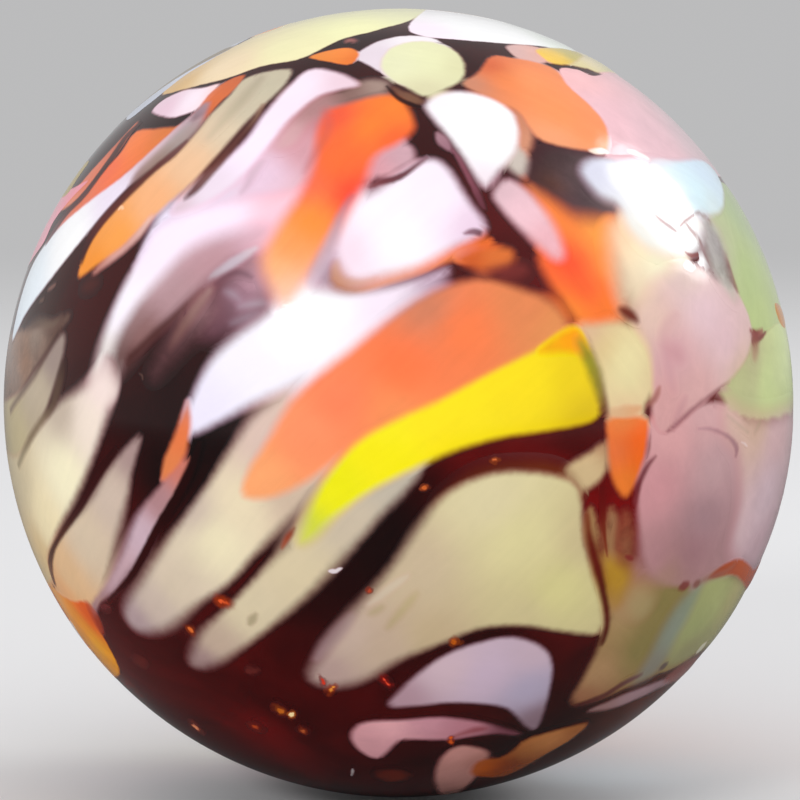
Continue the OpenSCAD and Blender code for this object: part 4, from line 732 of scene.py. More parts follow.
     (12.69, 2.65, 0.07), (13.17, 2.52, 0.18), (13.87, 2.78, 0.07)]),
    ("tail of the notch", "tan", 0.36, 0.7, ("#8a3c2c", "#b08068"), [
     (13.15, 2.44, 0.23), (13, 1.99, 0.25), (12.87, 1.54, 0.1)]),
    ("dark red line", "dark", 0.1, 0.95, ("#5a0810", "#6a1410", "#7a2a1c", "#8c4c30"), [
     (6.15, -2.48, 0.08), (6.21, -2.91, 0.09), (6.25, -3.53, 0.08), (6.39, -4.31, 0.06),
     (6.51, -4.84, 0.03)]),
    ("maroon by the big cream", "dark", 0.21, 0.95,
     ("#7c3420", "#641c14", "#541412", "#5c1a14", "#4e1414"), [
     (5.7, -3.31, 0.05), (5.78, -3.94, 0.1), (6.01, -4.66, 0.11), (6.29, -5.42, 0.14),
     (6.57, -6.22, 0.12), (6.78, -6.91, 0.11), (6.85, -7.53, 0.11), (6.76, -8.08, 0.09)]),
    ("red spot by the rose", "red", 0.13, 0.9, ("#84302c",), [
     (7.15, -4.81, 0.05), (7.31, -4.9, 0.1), (7.47, -4.98, 0.05)]),
    ("first hip spot", "red", 0.18, 0.9, ("#803c38",), [
     (9.65, -6.37, 0.07), (9.88, -6.34, 0.2), (10.15, -6.28, 0.09)]),
    ("second hip spot", "red", 0.18, 0.85, ("#845048",), [
     (10.34, -6.4, 0.07), (10.53, -6.37, 0.16), (10.72, -6.29, 0.06)]),
    ("line under the rose", "red", 0.3, 0.7, ("#94605c", "#a06450", "#a85c40"), [
     (10.77, -6.3, 0.06), (11.43, -6.25, 0.11), (12.16, -6.23, 0.12), (12.77, -6.05, 0.08)]),
    ("dark over the strip", "dark", 0.24, 0.9, ("#4e2220", "#5c2e2c", "#6e4c50"), [
     (6.26, -10.76, 0.09), (6.89, -10.69, 0.16), (7.6, -10.51, 0.17), (8.28, -10.12, 0.16),
     (8.97, -9.95, 0.09)]),
    # A painted highlight
    ("hip glint", "white", 0.14, 0.8, ("#e4e0c8",), [
     (12.36, -10.35, 0.14), (12.64, -10.21, 0.31), (12.95, -10.08, 0.17)]),
    ("small hip fleck", "dark", 0.18, 0.8, ("#5c4a4c",), [
     (9.85, -10.04, 0.11), (10.09, -9.98, 0.22), (10.28, -9.9, 0.09)]),
    ("red at the hip", "red", 0.3, 0.8, ("#8a4c44", "#945048"), [
     (10.7, -11.02, 0.19), (11.9, -11.28, 0.69), (13.72, -11.98, 0.67), (14.03, -11.61, 0.01)]),
    ("brown fleck in the tail", "tan", 0.19, 0.75, ("#a89878",), [
     (-4.69, -6.99, 0.06), (-4.54, -6.76, 0.14), (-4.38, -6.5, 0.06)]),
    ("long olive fleck", "cream", 0.38, 0.5, ("#a8985c", "#b4a468"), [
     (-0.36, -6.88, 0.06), (-0.06, -6.46, 0.11), (0.3, -5.99, 0.11), (0.59, -5.6, 0.06)]),
    ("short olive fleck", "cream", 0.32, 0.5, ("#a89864",), [
     (-0.89, -6.37, 0.07), (-0.65, -6.23, 0.11), (-0.41, -6.06, 0.06)]),
    ("pale streak in the cream", "white", 0.25, 0.5, ("#d8c8b4", "#dcccb8"), [
     (-0.95, -6.07, 0.05), (-0.53, -5.73, 0.12), (-0.06, -5.34, 0.12), (0.35, -5.03, 0.05)]),
    ("mauve by the big cream", "violet", 0.38, 0.5, ("#b49498", "#a8888c", "#b89c9c"), [
     (-2.62, -8.14, 0.1), (-2.21, -7.51, 0.22), (-1.69, -6.84, 0.22), (-1.31, -6.34, 0.09)]),
    ("red on the chin", "red", 0.28, 0.8, ("#a0585c", "#94444c"), [
     (1.79, -11.64, 0.05), (2.22, -11.41, 0.11), (2.69, -11.25, 0.15), (3.08, -11.25, 0.06)]),
    ("ember by the lemon", "red", 0.17, 0.85, ("#6a2010", "#b03c14", "#a05030"), [
     (-3.01, -3.62, 0.03), (-3.17, -3.86, 0.09), (-3.33, -4.11, 0.07), (-3.46, -4.34, 0.03)]),
    ("first line on the cheek", "dark", 0.3, 0.85, ("#7a6458", "#6c5248", "#5c3c34", "#3c2622"), [
     (-16.04, -0.37, 0.15), (-14.6, 0.34, 0.14), (-13.56, 0.92, 0.13), (-12.93, 1.47, 0.12),
     (-12.34, 2.08, 0.1), (-11.91, 2.54, 0.06)]),
    ("second line on the cheek", "dark", 0.29, 0.85, ("#94866a", "#7c6850", "#5c4234", "#3e2620"), [
     (-15.4, -2.61, 0.12), (-14.05, -1.54, 0.18), (-13.01, -0.75, 0.16), (-12.2, -0.17, 0.17),
     (-11.9, 0.38, 0.2), (-11.69, 0.99, 0.21), (-11.55, 1.47, 0.11)]),
    ("edge of the jaw", "dark", 0.17, 0.95, ("#7c4c34", "#4c2218", "#3a1612", "#34120e"), [
     (-14.18, -7.58, 0.14), (-13.97, -6.61, 0.21), (-13.28, -5.67, 0.15), (-12.14, -4.67, 0.11),
     (-10.98, -3.68, 0.11), (-10.31, -2.92, 0.13), (-9.68, -2.2, 0.13), (-8.98, -1.49, 0.07)]),
    ("grey on the dark cheek", "tan", 0.31, 0.6, ("#6a5448", "#7a6454", "#5c4438"), [
     (-14.54, 2.82, 0.12), (-13.51, 3.01, 0.2), (-12.46, 2.81, 0.18), (-11.87, 3.04, 0.09)]),
    # The red edge of the painted glow at the lower left limb
    ("red edge of the painted glow", "red", 0.24, 0.7, ("#c85028", "#b03c14", "#c04010"), [
     (-11.7, -7.43, 0.12), (-11.55, -7.78, 0.26), (-11.4, -8.29, 0.27), (-11.36, -8.85, 0.13)]),
    # Painted glow of light shining through the glass along the lower left limb
    ("painted glow along the limb", "orange", 0.24, 0.95, ("#f08c48", "#fb8c2c", "#ff9420"), [
     (-16.41, -7.89, 0), (-16.03, -8.63, 0.66), (-15.33, -9.45, 0.76), (-14.9, -10.47, 0.77),
     (-14.31, -11.26, 0.39)]),
    ("dark by the ribbon", "dark", 0.14, 1, ("#240a0a", "#2c0c0c", "#360e0e", "#400e0c"), [
     (-5.91, -1.12, 0.08), (-6.23, -1.94, 0.13), (-6.8, -2.88, 0.15), (-7.53, -3.89, 0.16),
     (-8.24, -4.94, 0.16), (-9.04, -5.92, 0.13), (-10.39, -7.11, 0.06)]),
    # A faint painted highlight
    ("arc glint", "tan", 0.07, 0.5, ("#5a3c34", "#7c5c50"), [
     (-8.09, 0.93, 0.02), (-7.97, 0.86, 0.03), (-7.93, 0.71, 0.02)]),
    ("reddish on the left dark", "red", 0.59, 0.35, ("#6e2c20",), [
     (-10.83, 3.98, 0.09), (-10.48, 4.01, 0.17), (-10.14, 4.04, 0.08)]),
    ("left specks", "tan", 0.18, 0.6, ("#94685c",), [
     (-13.09, 4.22, 0.04), (-12.82, 4.29, 0.08), (-12.57, 4.36, 0.04)]),
    ("left lower speck", "tan", 0.18, 0.5, ("#84604c",), [
     (-13.61, 3.87, 0.04), (-13.3, 3.9, 0.06)]),
    # Painted glints of bubbles in the glass that catch the light
    ("painted glint of a bubble", "orange", 0.09, 0.8, ("#ffcca0",), [
     (-9.73, 6.7, 0.04), (-9.6, 6.76, 0.1), (-9.44, 6.68, 0.03)]),
    ("glint 19", "orange", 0.09, 0.8, ("#c8602c",), [
     (0.62, -2.46, 0.03), (0.76, -2.43, 0.06), (0.85, -2.35, 0.03)]),
    # Sparks: painted glints of bubbles catching the light, each on a painted glow round it
    ("first spark glow", "glint", 0.23, 0.75, ("#8c3c10",), [
     (-4.13, -10.15, 0.08), (-4.04, -10.44, 0.23), (-3.95, -10.73, 0.09)]),
    ("first spark", "glint", 0.1, 1, ("#c86a20",), [
     (-4.08, -10.3, 0.05), (-4.03, -10.45, 0.12), (-4, -10.57, 0.05)]),
    ("bright spark glow", "glint", 0.12, 0.75, ("#b85c1c",), [
     (-3.72, -10.85, 0.05), (-3.6, -10.61, 0.14), (-3.49, -10.38, 0.05)]),
    ("bright spark", "glint", 0.08, 1, ("#ffe4a8",), [
     (-3.68, -10.77, 0.04), (-3.59, -10.59, 0.08), (-3.53, -10.45, 0.03)]),
    ("second spark glow", "glint", 0.19, 0.75, ("#7a2c10",), [
     (-3.41, -11.23, 0.07), (-3.31, -11.4, 0.22), (-3.2, -11.58, 0.08)]),
    ("second spark", "glint", 0.12, 1, ("#e8743a",), [
     (-3.36, -11.31, 0.04), (-3.3, -11.42, 0.11), (-3.25, -11.49, 0.04)]),
    ("third spark glow", "glint", 0.19, 0.75, ("#9c3a10",), [
     (-2.32, -9.52, 0.06), (-2.14, -9.24, 0.17), (-1.96, -8.97, 0.06)]),
    ("third spark", "glint", 0.08, 1, ("#ffa040",), [
     (-2.22, -9.36, 0.02), (-2.13, -9.22, 0.06), (-2.06, -9.11, 0.02)]),
    ("red spark glow", "glint", 0.18, 0.75, ("#7a1c12",), [
     (-2.52, -8.63, 0.04), (-2.44, -8.88, 0.12), (-2.36, -9.14, 0.04)]),
    ("red spark", "glint", 0.08, 1, ("#d83c28",), [
     (-2.49, -8.73, 0.02), (-2.43, -8.91, 0.05), (-2.39, -9.04, 0.02)]),
    ("long red spark glow", "glint", 0.23, 0.75, ("#8a1c10",), [
     (-0.59, -8.55, 0.05), (-0.41, -8.83, 0.13), (-0.23, -9.11, 0.05)]),
    ("long red spark", "glint", 0.08, 1, ("#ff5434",), [
     (-0.53, -8.63, 0.02), (-0.39, -8.85, 0.06), (-0.28, -9.03, 0.03)]),
    ("brown spark glow", "glint", 0.17, 0.75, ("#8a3c0c",), [
     (1.55, -7.29, 0.07), (1.77, -7.34, 0.21), (1.98, -7.39, 0.08)]),
    ("brown spark", "glint", 0.08, 1, ("#c05c18",), [
     (1.66, -7.31, 0.04), (1.78, -7.34, 0.11), (1.87, -7.37, 0.04)]),
    ("low spark glow", "glint", 0.12, 0.75, ("#8a3010",), [
     (1.81, -11.48, 0.05), (1.86, -11.76, 0.15), (1.91, -12.06, 0.05)]),
    ("low spark", "glint", 0.08, 1, ("#e05c1c",), [
     (1.82, -11.54, 0.03), (1.87, -11.8, 0.07), (1.9, -12, 0.03)]),
    ("limb spark glow", "glint", 0.21, 0.75, ("#842c10",), [
     (-8.26, -12.91, 0.2), (-8.02, -12.9, 0.57), (-7.8, -12.9, 0.19)]),
    ("limb spark", "glint", 0.13, 1, ("#ffa070",), [
     (-8.14, -12.91, 0.1), (-8.01, -12.9, 0.24), (-7.91, -12.89, 0.1)]),
    ("dim spark glow", "glint", 0.29, 0.75, ("#702010",), [
     (-5.34, -11.65, 0.09), (-5.08, -11.64, 0.27), (-4.81, -11.64, 0.09)]),
    ("dim spark", "glint", 0.13, 1, ("#b84820",), [
     (-5.19, -11.65, 0.05), (-5.06, -11.65, 0.13), (-4.96, -11.64, 0.05)]),
    ("tail spark glow", "glint", 0.3, 0.75, ("#a03818",), [
     (-5.77, -6.08, 0.08), (-5.45, -6.22, 0.23), (-5.14, -6.37, 0.08)]),
    ("tail spark", "glint", 0.08, 1, ("#e85c2c",), [
     (-5.62, -6.15, 0.04), (-5.42, -6.24, 0.1), (-5.28, -6.3, 0.04)]),
    ("small tail spark glow", "glint", 0.23, 0.75, ("#8a3414",), [
     (-7.06, -7.33, 0.07), (-6.87, -7.46, 0.21), (-6.69, -7.59, 0.07)]),
    ("small tail spark", "glint", 0.1, 1, ("#e87434",), [
     (-6.96, -7.39, 0.04), (-6.86, -7.47, 0.09), (-6.78, -7.53, 0.04)]),
    ("pink spark glow", "glint", 0.17, 0.75, ("#6c2c28",), [
     (-4.98, -8.83, 0.06), (-4.76, -8.75, 0.18), (-4.55, -8.67, 0.06)]),
    ("left spark glow", "glint", 0.25, 0.75, ("#641e18",), [
     (-9.93, -9.7, 0.09), (-9.57, -9.57, 0.25), (-9.23, -9.44, 0.08)]),
    ("ribbon spark glow", "glint", 0.16, 0.75, ("#64282a",), [
     (-10.88, -7.49, 0.07), (-10.6, -7.41, 0.18), (-10.33, -7.34, 0.06)]),
    ("cream spark glow", "glint", 0.1, 0.75, ("#7a2c1c",), [
     (-0.94, -5.65, 0.04), (-0.82, -5.57, 0.12), (-0.7, -5.5, 0.04)]),
    ("cream spark", "glint", 0.07, 1, ("#b0442c",), [
     (-0.87, -5.61, 0.02), (-0.81, -5.57, 0.05), (-0.77, -5.54, 0.02)]),
    ("edge spark glow", "glint", 0.1, 0.75, ("#8a3c1c",), [
     (2.64, -1.64, 0.04), (2.79, -1.62, 0.12), (2.93, -1.6, 0.04)]),
    ("edge spark", "glint", 0.06, 1, ("#e0743c",), [
     (2.71, -1.63, 0.02), (2.8, -1.62, 0.05), (2.86, -1.61, 0.02)]),
    ("second edge spark glow", "glint", 0.1, 0.75, ("#7a341c",), [
     (0.63, -2.48, 0.04), (0.76, -2.43, 0.1), (0.9, -2.38, 0.04)]),
    ("second edge spark", "glint", 0.06, 1, ("#c8602c",), [
     (0.7, -2.45, 0.02), (0.77, -2.43, 0.05), (0.83, -2.41, 0.02)]),
    # Painted highlights: white glints of the lamps
    ("white glint", "white", 0.07, 1, ("#c8a8b0", "#ffffff", "#d8c0c4", "#ffffff", "#c8b0b4"), [
     (-2.07, -4.97, 0.03), (-1.96, -4.96, 0.07), (-1.84, -4.96, 0.06), (-1.72, -4.89, 0.06),
     (-1.63, -4.86, 0.02)]),
    ("low white glint", "white", 0.08, 0.9, ("#8c7c7c", "#f0e8e8", "#8c7c7c"), [
     (-1.79, -14.38, 0.03), (-1.73, -13.99, 0.05), (-1.7, -13.65, 0.03)]),
    ("limb glint", "white", 0.12, 1, ("#fff0e0",), [
     (-14.92, -10.45, 0.06), (-14.39, -10.26, 0.67), (-14.1, -10.2, 0.59)]),
    ("low red", "glint", 0.36, 0.6, ("#702414", "#8a3018"), [
     (-0.82, -14.06, 0.27), (-0.23, -14.21, 0.56), (0.3, -14.4, 0.29)]),
]

# ---------------------------------------------------------------- chips of the far side
# Outlines as shares of a chip's length and width, with the corner at the far end
TONGUE = ([(-0.5, -0.08), (-0.34, 0.3), (-0.05, 0.5), (0.26, 0.42), (0.5, 0.12), (0.36, -0.22),
           (0.06, -0.5), (-0.28, -0.42)], 4)
PEBBLE = ([(-0.5, -0.06), (-0.4, 0.36), (-0.04, 0.5), (0.38, 0.34), (0.5, -0.04), (0.3, -0.44),
           (-0.12, -0.5), (-0.42, -0.3)], 4)
SHARD = ([(-0.5, -0.2), (-0.44, 0.34), (0.02, 0.5), (0.46, 0.3), (0.5, -0.3), (0.06, -0.5)], 4)
# Where on such an outline the two colours of a chip lie
END_DABS = [(-0.35, 0), (0.35, 0)]
# Length and width, and how soft the edge is, in mm
TONGUE_SIZE = (9.5, 3.4)
PEBBLE_SIZE = (5.6, 5.04)
TONGUE_SOFT = 0.26
PEBBLE_SOFT = 0.12
# The spiral: how many chips, in how many layers, how far round the ball, the turn between two
FAR_COUNT = 36
FAR_LAYERS = 3
FAR_REACH = math.radians(84)
GOLDEN_TURN = math.radians(137.508)
# Steps that keep neighbours unlike in glass, size and lean, and how far sizes spread
GLASS_STRIDE = 5
SIZE_STRIDE = 0.618
LEAN_STRIDE = 0.414
SIZE_SPREAD = 0.35
# The lean of the long chips in degrees and its spread, and how far left they start
TONGUE_LEAN = 57
LEAN_SPREAD = 40
TONGUE_FROM = 0.1
# Glass, and its colour from one end of the chip to the other
FAR_GLASS = [
    ("cream", "#f0e4bc", "#c4aca0"), ("white", "#fbf3fd", "#e4c8d4"),
    ("orange", "#ffa45c", "#f6b488"), ("pink", "#f0c8d2", "#d8a8b0"),
    ("cream", "#ddd396", "#cbb48c"), ("violet", "#c6a0ac", "#a08088"),
    ("green", "#bccb96", "#b4ae80"), ("red", "#ff5c38", "#ff9244"),
    ("white", "#ecd4e8", "#f8ecf8"), ("tan", "#cdb698", "#9c7c68"),
    ("orange", "#fb8450", "#dc8c60"), ("blue", "#cfe3ec", "#c2d0d4"),
    ("pink", "#cf9ca4", "#9c747c"), ("cream", "#f4f4c4", "#e4dcb0"),
    ("orange", "#f08030", "#d46420"), ("green", "#a09a5c", "#84704c"),
]


# ---------------------------------------------------------------- colours
def linear(colour):
    """Linear red, green and blue of a colour written as #rrggbb."""
    parts = np.array([int(colour[k:k + 2], 16) / 255 for k in (1, 3, 5)])
    return np.where(parts <= 0.04045, parts / 12.92, ((parts + 0.055) / 1.055) ** 2.4)


def bare_colour(colour):
    """A colour without what the reflection of a pale room adds to it."""
    return np.maximum(linear(colour) - GLOSS_ADDS, DARKEST)


def run_into(points, places, colours, blur):
    """The colour at directions between dabs that run into one another, blurred over some mm."""
    gap = mm_between(points, places)
    weight = 1 / (gap ** 2 + blur ** 2) ** DAB_FALL
    weight /= weight.sum(1, keepdims=True)
    return weight @ colours


def dark_glass(points):
    """The colour of the dark glass at directions."""
    places = laid([(u, v) for _, u, v in DARK_DABS])
    return run_into(points, places, np.array([bare_colour(c) for c, _, _ in DARK_DABS]), DARK_BLUR)


def thinned(colours, share):
    """Colours of glass that thins out at its edge, where the amber round it takes over."""
    return colours * (1 - np.array(EDGE_TAKES) * ((1 - share) ** 2)[:, None])


# ---------------------------------------------------------------- laying out on the ball
def smooth_step(low, high, value):
    """From 0 to 1 between two values, slow at both."""
    share = np.clip((value - low) / (high - low), 0, 1)
    return share * share * (3 - 2 * share)


def turned(points, angle, first, second):
    """Points turned by an angle from one axis towards another."""
    points = np.array(points, float)
    c, s = math.cos(angle), math.sin(angle)
    a, b = points[:, first].copy(), points[:, second].copy()
    points[:, first] = a * c - b * s
    points[:, second] = a * s + b * c
    return points


def domed(flat):
    """Directions of points laid out flat in mm about the point of the ball straight ahead."""
    flat = np.asarray(flat, float)
    reach = np.hypot(flat[:, 0], flat[:, 1])
    turn = reach / BALL_R
    share = np.sin(turn) / np.maximum(reach, TINY)
    return np.stack([share * flat[:, 0], -np.cos(turn), share * flat[:, 1]], 1)


def laid(flat):
    """Directions of points laid out flat from the middle of the near side."""
    return turned(domed(flat), -NEAR_LEAN, 1, 2)


def mm_between(points, places):
    """The way over the ball, in mm, from each direction to each place."""
    return np.arccos(np.clip(points @ places.T, -1, 1)) * BALL_R


def opened(points, axes):
    """Directions laid out flat in mm about a chip's own middle, along and across it."""
    middle, along, across = axes
    side = np.stack([points @ along, points @ across], 1)
    length = np.maximum(np.hypot(side[:, 0], side[:, 1]), TINY)
    turn = np.arctan2(length, points @ middle)
    return side / length[:, None] * turn[:, None] * BALL_R


def closed(flat, axes):
    """The way back from opened()."""
    middle, along, across = axes
    reach = np.maximum(np.hypot(flat[:, 0], flat[:, 1]), TINY)
    turn = reach / BALL_R
    side = np.sin(turn) / reach
    return (np.cos(turn)[:, None] * middle + (side * flat[:, 0])[:, None] * along
            + (side * flat[:, 1])[:, None] * across)


# ---------------------------------------------------------------- outlines
def curve(a, b, c, d, t):
    """The place at share t from b to c, on a smooth curve that also passes a and d."""
    return 0.5 * (2 * b + (c - a) * t + (2 * a - 5 * b + 4 * c - d) * t ** 2
                  + (3 * b - a - 3 * c + d) * t ** 3)


def melted(outline):
    """A rounded closed line through the outline's points."""
    points = np.asarray(outline, float)
    a, c, d = np.roll(points, 1, 0), np.roll(points, -1, 0), np.roll(points, -2, 0)
    rows = [curve(a, points, c, d, k / MELT_STEPS) for k in range(MELT_STEPS)]
    return np.stack(rows, 1).reshape(-1, 2)


def brushed(path):
    """The outline of a thin streak through points that each have a half width, and its end."""
    knots = np.asarray(path, float)
    knots = np.concatenate([2 * knots[:1] - knots[1:2], knots, 2 * knots[-1:] - knots[-2:-1]])
    rows = []
    for a, b, c, d in zip(knots, knots[1:], knots[2:], knots[3:]):
        rows += [curve(a, b, c, d, t) for t in np.arange(0, 1, 1 / STREAK_STEPS)]
    line = np.array(rows + [knots[-2]])
    way = np.gradient(line[:, :2], axis=0)
    way /= np.maximum(np.linalg.norm(way, axis=1, keepdims=True), TINY)
    half = np.maximum(line[:, 2:], LEAST_HALF_WIDTH)
    side = np.stack([-way[:, 1], way[:, 0]], 1) * half
    left, right = line[:, :2] + side, line[:, :2] - side
    return np.concatenate([left, right[::-1]]), len(left) - 1


def edge_distance(points, outline):
    """How far points lie inside a closed outline, in mm, and below 0 outside it."""
    start, end = outline, np.roll(outline, -1, 0)
    way = end - start
    length = np.maximum((way ** 2).sum(1), TINY)
    gap = points[:, None, :] - start[None]
    share = np.clip((gap * way).sum(2) / length, 0, 1)
    off = gap - share[..., None] * way
    near = np.sqrt((off ** 2).sum(2).min(1))
    y = points[:, 1:2]
    crosses = (start[None, :, 1] > y) != (end[None, :, 1] > y)
    rise = np.where(np.abs(way[:, 1]) < TINY, TINY, way[:, 1])
    at = start[:, 0] + (y - start[:, 1]) / rise * way[:, 0]
    inside = (crosses & (points[:, 0:1] < at)).sum(1) % 2 == 1
    return np.where(inside, near, -near)


def grown(outline, by):
    """The outline moved outwards, so that a soft edge fades evenly about it."""
    ahead, back = np.roll(outline, -1, 0), np.roll(outline, 1, 0)
    way = ahead - back
    way /= np.maximum(np.linalg.norm(way, axis=1, keepdims=True), TINY)
    out = np.stack([way[:, 1], -way[:, 0]], 1)
    turn = (outline[:, 0] * ahead[:, 1] - ahead[:, 0] * outline[:, 1]).sum()
    moved = outline + out * by * (1 if turn > 0 else -1)
    # Points that a tight hollow throws back inside stay where they were
    kept = edge_distance(moved, outline)[:, None] < -WELL_OUT * by
    return np.where(kept, moved, outline)


def run_together(points):
    """How much softer the glass has run at directions, most where it was hottest."""
    run = np.ones(len(points))
    for u, v, reach, most in HOT_SPOTS:
        gap = mm_between(points, laid([(u, v)])[0])
        run += most * np.exp(-(gap / reach) ** 2)
    return run


# ---------------------------------------------------------------- chips
class Chip:
    """One chip of glass: where it lies on the ball, its layer and its colours."""

    def __init__(self, name, glass, layer, soft, cover, edge, end, dabs, dab_places):
        self.name, self.glass, self.layer = name, glass, layer
        self.soft, self.cover, self.end = soft, cover, end
        middle = edge.sum(0)
        middle /= np.linalg.norm(middle)
        along = edge[end] - edge[0]
        along -= middle * (along @ middle)
        along /= np.linalg.norm(along)
        self.axes = (middle, along, np.cross(middle, along))
        soft_edge = self.softness(run_together(edge))[:, None]
        self.outline = grown(opened(edge, self.axes), soft_edge / 2)
        self.reach = np.hypot(self.outline[:, 0], self.outline[:, 1]).max() / BALL_R
        self.dabs = np.array([bare_colour(d) for d in dabs])
        self.dab_places = dab_places

    def softness(self, run):
        """Width of the soft edge in mm: the chips have run together, the streaks haven't."""
        return self.soft * (run if self.layer else np.ones(len(run)))

    def run_on(self, inside):
        """How far the glass below a solid chip runs on under its soft edge, in mm."""
        solid = self.layer > 0 and self.cover > SOLID_COVER
        return np.clip(inside, 0, min(self.soft, MOST_RUN_ON)) * solid

    def near(self, ways, reach=0):
        """Whether the chip can come within a reach of directions."""
        return ways @ self.axes[0] > math.cos(min(self.reach + reach + NEARBY, math.pi))

    def inside(self, points):
        """Distance inside the edge, in mm, of directions, well below 0 where they are far away."""
        depth = np.full(len(points), FAR_OUTSIDE)
        near = self.near(points)
        if near.any():
            depth[near] = edge_distance(opened(points[near], self.axes), self.outline)
        return depth

    def height(self, below, inside, relief):
        """Height of the chip's skin over the dark glass, on top of what is below it."""
        thick = np.maximum(LAP_STEP * self.layer * relief - below, THIN_LAP)
        rim = RIM_WIDTH * (FLUSH_RIM - (FLUSH_RIM - 1) * relief) + RIM_SOFT * self.soft
        sink = RIM_SINK * thick * relief * RIM_WIDTH / rim
        inside = np.maximum(inside, 0)
        return (below + RIM_LIFT + thick * (1 - np.exp(-inside / rim))
                - sink * np.exp(-inside / RIM_SINK_WIDTH))

    def raised(self, below, inside, relief):
        """Height of the whole skin once the chip lies on what is below."""
        return np.where(inside > 0, np.maximum(self.height(below, inside, relief), below), below)

    def colours(self, points):
        """The chip's own colour at directions: its dabs run into one another."""
        return run_into(points, self.dab_places, self.dabs, DAB_BLUR)


def near_chip(row):
    """A chip of the near side, as it is listed."""
    name, glass, layer, corner, soft, cover, dabs, outline = row
    places = laid([(u, v) for _, u, v in dabs])
    return Chip(name, glass, layer, soft, cover, laid(melted(outline)), corner * MELT_STEPS,
                [c for c, _, _ in dabs], places)


def streak_chip(row):
    """A thin streak smeared over the chips, or a painted highlight, glint or glow laid the same way."""
    name, glass, soft, cover, colours, path = row
    outline, end = brushed(path)
    at = np.linspace(0, len(path) - 1, len(colours)).round().astype(int)
    places = laid([path[k][:2] for k in at])
    return Chip(name, glass, 0, soft, cover, laid(outline), end, colours, places)


def part_of_one(value):
    """What a value is over its whole number."""
    return value - math.floor(value)


def far_chip(index):
    """A chip of the far side's spiral lay: long and leaning on the left, rounded on the right."""
    off = math.acos(1 - (1 - math.cos(FAR_REACH)) * (index + 0.5) / FAR_COUNT)
    turn = index * GOLDEN_TURN
    at = np.array([math.sin(off) * math.cos(turn), math.cos(off), math.sin(off) * math.sin(turn)])
    if at[0] < -TONGUE_FROM:
        lean = TONGUE_LEAN + LEAN_SPREAD * (part_of_one(index * LEAN_STRIDE) - 0.5)
        (shape, corner), size, soft = TONGUE, TONGUE_SIZE, TONGUE_SOFT
    else:
        lean = 360 * part_of_one(index * LEAN_STRIDE)
        (shape, corner), size, soft = (PEBBLE, SHARD)[index % 2], PEBBLE_SIZE, PEBBLE_SOFT
    scale = 1 + SIZE_SPREAD * (part_of_one(index * SIZE_STRIDE) - 0.5)

    def placed(flat):
        """Directions of points given as shares of the chip's size, brought to its place."""
        flat = turned(np.asarray(flat, float) * np.array(size) * scale, math.radians(lean), 0, 1)
        upright = turned(domed(flat), -math.asin(at[2]), 1, 2)
        return turned(upright, math.atan2(at[0], -at[1]), 0, 1)

    glass, first, last = FAR_GLASS[(index * GLASS_STRIDE) % len(FAR_GLASS)]
    return Chip("far %d" % index, glass, 1 + index % FAR_LAYERS, soft, 1, placed(melted(shape)),
                corner * MELT_STEPS, [first, last], placed(END_DABS))


# ---------------------------------------------------------------- the skin's relief
def pebbled(points):
    """How much relief the skin has, from the flush, drawn-out side to the pebbled one."""
    share = smooth_step(*RELIEF_SPAN, points[:, 0])
    return FLUSH_RELIEF + (FULL_RELIEF - FLUSH_RELIEF) * share


def swell(points):
    """The slight lumps of a ball rounded by hand, in mm."""
    total = np.zeros(len(points))
    for fineness, place, height in LUMPS:
        lumps = [noise.noise(Vector(p) * fineness + Vector(place)) for p in points]
        total += np.array(lumps) * height
    return total * pebbled(points)


# ---------------------------------------------------------------- a chip's mesh, laid out flat
def along_line(line, shares):
    """Points at shares of a line's length."""
    step = np.linalg.norm(np.diff(line, axis=0), axis=1)
    run = np.concatenate([[0], np.cumsum(step)])
    return np.stack([np.interp(np.asarray(shares) * run[-1], run, line[:, k]) for k in (0, 1)], 1)


def stretch_of(outline, start, end):
    """The stretch of a closed outline between two shares of its length."""
    loop = np.concatenate([outline, outline, outline, outline[:1]])
    return along_line(loop, (1 + np.linspace(start, end, SIDE_PLACES)) / 3)


def four_sided(chip):
    """The chip's outline as two long sides and two short ones round its ends."""
    outline = chip.outline
    loop = np.concatenate([outline, outline[:1]])
    step = np.linalg.norm(np.diff(loop, axis=0), axis=1)
    around = step.sum()
    far_end = step[:chip.end].sum() / around
    x, y = loop.T
    area = abs((x[:-1] * y[1:] - x[1:] * y[:-1]).sum()) / 2
    cap = min(END_WIDTH * area / around, MOST_END * around) / around
    return (stretch_of(outline, -cap, cap), stretch_of(outline, cap, far_end - cap),
            stretch_of(outline, far_end + cap, far_end - cap),
            stretch_of(outline, 1 - cap, far_end + cap))


def spread_between(sides, along, across):
    """A grid spread between four sides."""
    s, t = np.linspace(0, 1, along), np.linspace(0, 1, across)
    near, top = along_line(sides[0], t), along_line(sides[1], s)
    far, bottom = along_line(sides[2], t), along_line(sides[3], s)
    s, t = s[:, None, None], t[None, :, None]
    return ((1 - s) * near[None] + s * far[None] + (1 - t) * bottom[:, None] + t * top[:, None]
            - (1 - s) * (1 - t) * near[0] - s * (1 - t) * far[0]
            - (1 - s) * t * near[-1] - s * t * far[-1])


def relaxed(grid):
    """The grid evened out, so that no square folds over."""
    for _ in range(RELAX_ROUNDS):
        e, w = grid[2:, 1:-1], grid[:-2, 1:-1]
        n, b = grid[1:-1, 2:], grid[1:-1, :-2]
        ds, dt = (e - w) / 2, (n - b) / 2
        a, g = (dt ** 2).sum(2, keepdims=True), (ds ** 2).sum(2, keepdims=True)
        m = (ds * dt).sum(2, keepdims=True)
        cross = grid[2:, 2:] - grid[2:, :-2] - grid[:-2, 2:] + grid[:-2, :-2]
        even = (a * (e + w) + g * (n + b) - m / 2 * cross) / np.maximum(2 * (a + g), TINY)
        grid[1:-1, 1:-1] += RELAX_SHARE * (even - grid[1:-1, 1:-1])
    return grid


